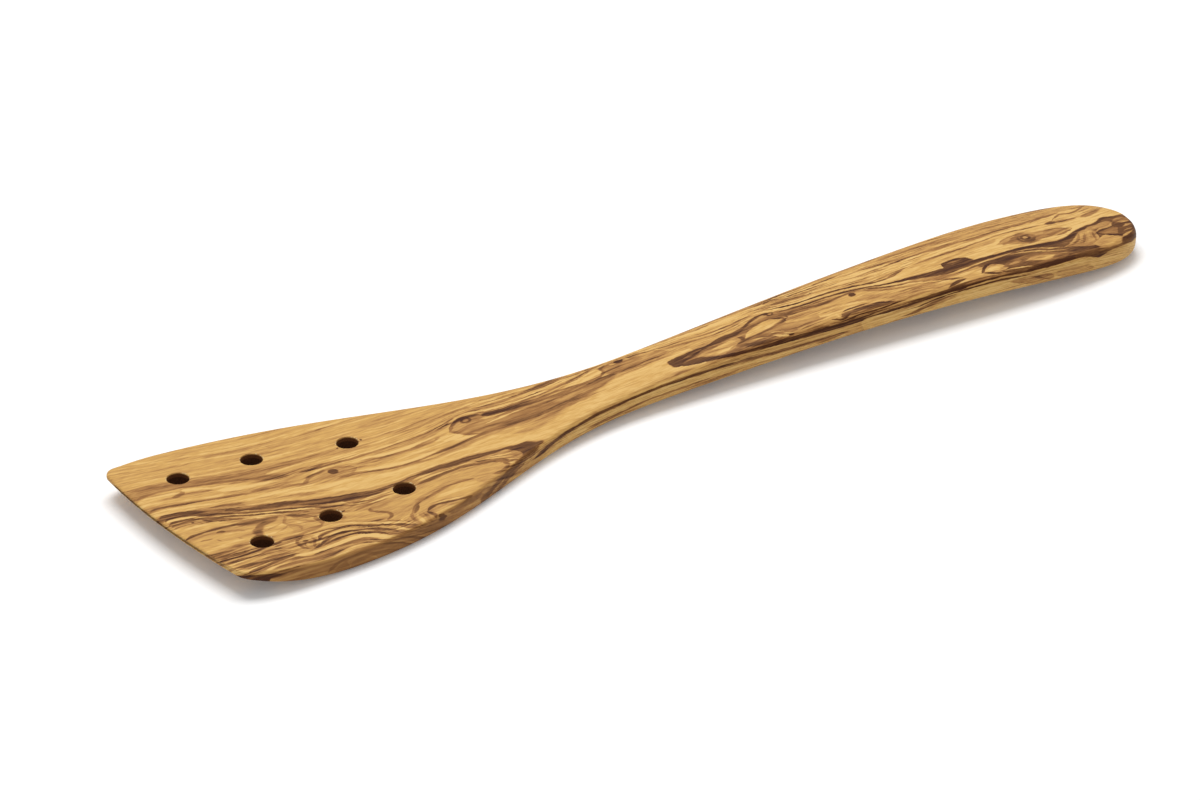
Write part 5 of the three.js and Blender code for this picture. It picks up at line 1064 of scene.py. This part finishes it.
drill_places, drill_faces, drill_finish = [], [], []
for number, (hole_along, hole_across) in enumerate(HOLES):
    start = len(drill_places)
    hole_x, hole_y = (hole_along - LENGTH / 2) * MM, hole_across * MM
    for side, out, ease in RINGS_OF_DRILL:
        for k in range(HOLE_SIDES):
            turn = 2 * math.pi * k / HOLE_SIDES
            dx, dy = math.cos(turn), math.sin(turn)
            grain_end = max(0, abs(dx) - GRAIN_END_FROM) / (1 - GRAIN_END_FROM)
            tear = 0.75 + 0.5 * noise.noise((3 * dx, 3 * dy, 7 * number)) + 1.1 * grain_end * max(
                0, noise.noise((9 * dx, 9 * dy, 5 * number + 2)))
            radius = (HOLE_RADIUS + ease * max(tear, LEAST_EASE)) * MM
            px, py = hole_x + radius * dx, hole_y + radius * dy
            drill_places.append((px, py, level(px, py, side) + side * out * MM))
    for row, wall in enumerate(WALLS):
        for k in range(HOLE_SIDES):
            a, b = start + row * HOLE_SIDES + k, start + row * HOLE_SIDES + (k + 1) % HOLE_SIDES
            drill_faces.append((a, a + HOLE_SIDES, b + HOLE_SIDES, b))
            turn = 2 * math.pi * (k + 0.5) / HOLE_SIDES
            dx, dy = math.cos(turn), math.sin(turn)
            # Pale rim faces at the grain's ends: partly torn fibres, partly painted highlight.
            pale_rim_face = row == RIM and abs(dx) > PALE_RIM_FROM and noise.noise((5 * dx, 5 * dy, number)) > 0
            drill_finish.append(PALE_RIM if pale_rim_face else wall)
    last = start + len(WALLS) * HOLE_SIDES
    drill_faces.append(tuple(range(start, start + HOLE_SIDES)))
    drill_faces.append(tuple(reversed(range(last, last + HOLE_SIDES))))
    drill_finish += [DEEP_WALL_SHADE, DEEP_WALL_SHADE]
drill_mesh = bpy.data.meshes.new("drills")
drill_mesh.from_pydata(drill_places, [], drill_faces)
drill_mesh.update()


def raw_wood(name, colour):
    """Dull wood of one colour, used for the hole walls' painted shade and for the pale rims."""
    material = bpy.data.materials.new(name)
    material.use_nodes = True
    surface = material.node_tree.nodes["Principled BSDF"]
    surface.inputs["Base Color"].default_value = (*colour, 1)
    surface.inputs["Roughness"].default_value = RAW_ROUGHNESS
    surface.inputs["Specular IOR Level"].default_value = RAW_SHINE
    return material


# Painted shade for the hole walls, darker deep down; pale rims, partly torn fibres and partly painted highlight.
deep_wall_shade = raw_wood("painted_shade_deep_in_hole", (0.08, 0.026, 0.009))
torn_fibres_and_highlight = raw_wood("torn_fibres_and_highlight", (0.72, 0.53, 0.28))
upper_wall_shade = raw_wood("painted_shade_in_hole", (0.14, 0.048, 0.015))
for finish in (deep_wall_shade, board_mesh.materials[0], torn_fibres_and_highlight, upper_wall_shade):
    drill_mesh.materials.append(finish)
drill_mesh.polygons.foreach_set("material_index", drill_finish)
drills = bpy.data.objects.new("drills", drill_mesh)
bpy.context.scene.collection.objects.link(drills)
cut = board.modifiers.new("drain_holes", "BOOLEAN")
cut.operation = "DIFFERENCE"
cut.solver = "EXACT"
cut.material_mode = "TRANSFER"
cut.object = drills
drilled = bpy.data.meshes.new_from_object(board.evaluated_get(bpy.context.evaluated_depsgraph_get()))
board.modifiers.clear()
board.data = drilled
bpy.data.objects.remove(drills)

# Every face of sanded wood takes the material of the stretch that its grain comes from.
stretch_ends = [end for name, start, end in STRETCHES]
for face in drilled.polygons:
    face.use_smooth = True
    if face.material_index < len(STRETCHES):
        face_along = face.center.x / MM + LENGTH / 2
        face_depth = upper_line(face_along) - face.center.z / MM
        face.material_index = int(np.searchsorted(stretch_ends, face_along - face_depth * LEAN_ALONG))
drilled.set_sharp_from_angle(angle=SMOOTH_UP_TO)

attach(board, "root")
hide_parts("spatula")

# The table top: plain white paper, matt, far wider than the view. It lies just under the spatula and keeps its
# shadow, and a faint glow that only the camera and mirrors see brings it up to white.
FLOOR_REACH = 6
FLOOR_LEVEL = -0.00005
PAPER_WHITE = 0.9
PAPER_GLOW = 0.1
floor_mesh = bpy.data.meshes.new("table_top")
floor_mesh.from_pydata([(FLOOR_REACH * x, FLOOR_REACH * y, FLOOR_LEVEL) for x, y in
                        ((-1, -1), (1, -1), (1, 1), (-1, 1))], [], [(0, 1, 2, 3)])
floor = bpy.data.objects.new("table_top", floor_mesh)
bpy.context.scene.collection.objects.link(floor)
floor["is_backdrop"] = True
paper = bpy.data.materials.new("white_paper")
paper.use_nodes = True
paper.node_tree.nodes.clear()
nodes, link = paper.node_tree.nodes, paper.node_tree.links.new
matt = nodes.new("ShaderNodeBsdfDiffuse")
matt.inputs["Color"].default_value = (PAPER_WHITE, PAPER_WHITE, PAPER_WHITE, 1)
glow = nodes.new("ShaderNodeEmission")
seen = nodes.new("ShaderNodeLightPath")
either = nodes.new("ShaderNodeMath")
either.operation = "MAXIMUM"
strength = nodes.new("ShaderNodeMath")
strength.operation = "MULTIPLY"
strength.inputs[1].default_value = PAPER_GLOW
both = nodes.new("ShaderNodeAddShader")
surface = nodes.new("ShaderNodeOutputMaterial")
link(seen.outputs["Is Camera Ray"], either.inputs[0])
link(seen.outputs["Is Glossy Ray"], either.inputs[1])
link(either.outputs[0], strength.inputs[0])
link(strength.outputs[0], glow.inputs["Strength"])
link(matt.outputs[0], both.inputs[0])
link(glow.outputs[0], both.inputs[1])
link(both.outputs[0], surface.inputs["Surface"])
floor_mesh.materials.append(paper)

# Light: a white room all round, and one broad soft lamp overhead, a little behind the spatula, pointed at the middle
# of it.
ROOM_STRENGTH = 0.5
LAMP_SIZE = 0.9, 0.6
LAMP_POWER = 10.9
LAMP_AT = 0.05, 0.36, 1.1
room = bpy.data.worlds.new("white_room")
bpy.context.scene.world = room
room.use_nodes = True
room.node_tree.nodes["Background"].inputs["Color"].default_value = (1, 1, 1, 1)
room.node_tree.nodes["Background"].inputs["Strength"].default_value = ROOM_STRENGTH
lamp_data = bpy.data.lights.new("soft_box", "AREA")
lamp_data.shape = "RECTANGLE"
lamp_data.size, lamp_data.size_y = LAMP_SIZE
lamp_data.energy = LAMP_POWER
lamp = bpy.data.objects.new("soft_box", lamp_data)
bpy.context.scene.collection.objects.link(lamp)
lamp.location = LAMP_AT
lamp.rotation_euler = (-lamp.location).to_track_quat("-Z", "Y").to_euler()
bpy.context.scene.view_settings.view_transform = "Standard"

# Camera: the photograph's own place, turn and lens, found by fitting the spatula's outline. It looks at a place near
# the middle of the spatula.
TURN = math.radians(32.97)
TILT = math.radians(30)
LOOKS_AT = -0.0306, -0.003918, 0.005
DISTANCE = 0.75868
forward = Vector((math.sin(TURN) * math.cos(TILT), math.cos(TURN) * math.cos(TILT), -math.sin(TILT)))
camera_data = bpy.data.cameras.new("camera")
camera_data.lens = 85
camera_data.sensor_width = 36
camera = bpy.data.objects.new("camera", camera_data)
bpy.context.scene.collection.objects.link(camera)
camera.location = Vector(LOOKS_AT) - DISTANCE * forward
camera.rotation_euler = forward.to_track_quat("-Z", "Y").to_euler()
bpy.context.scene.camera = camera

low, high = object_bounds()
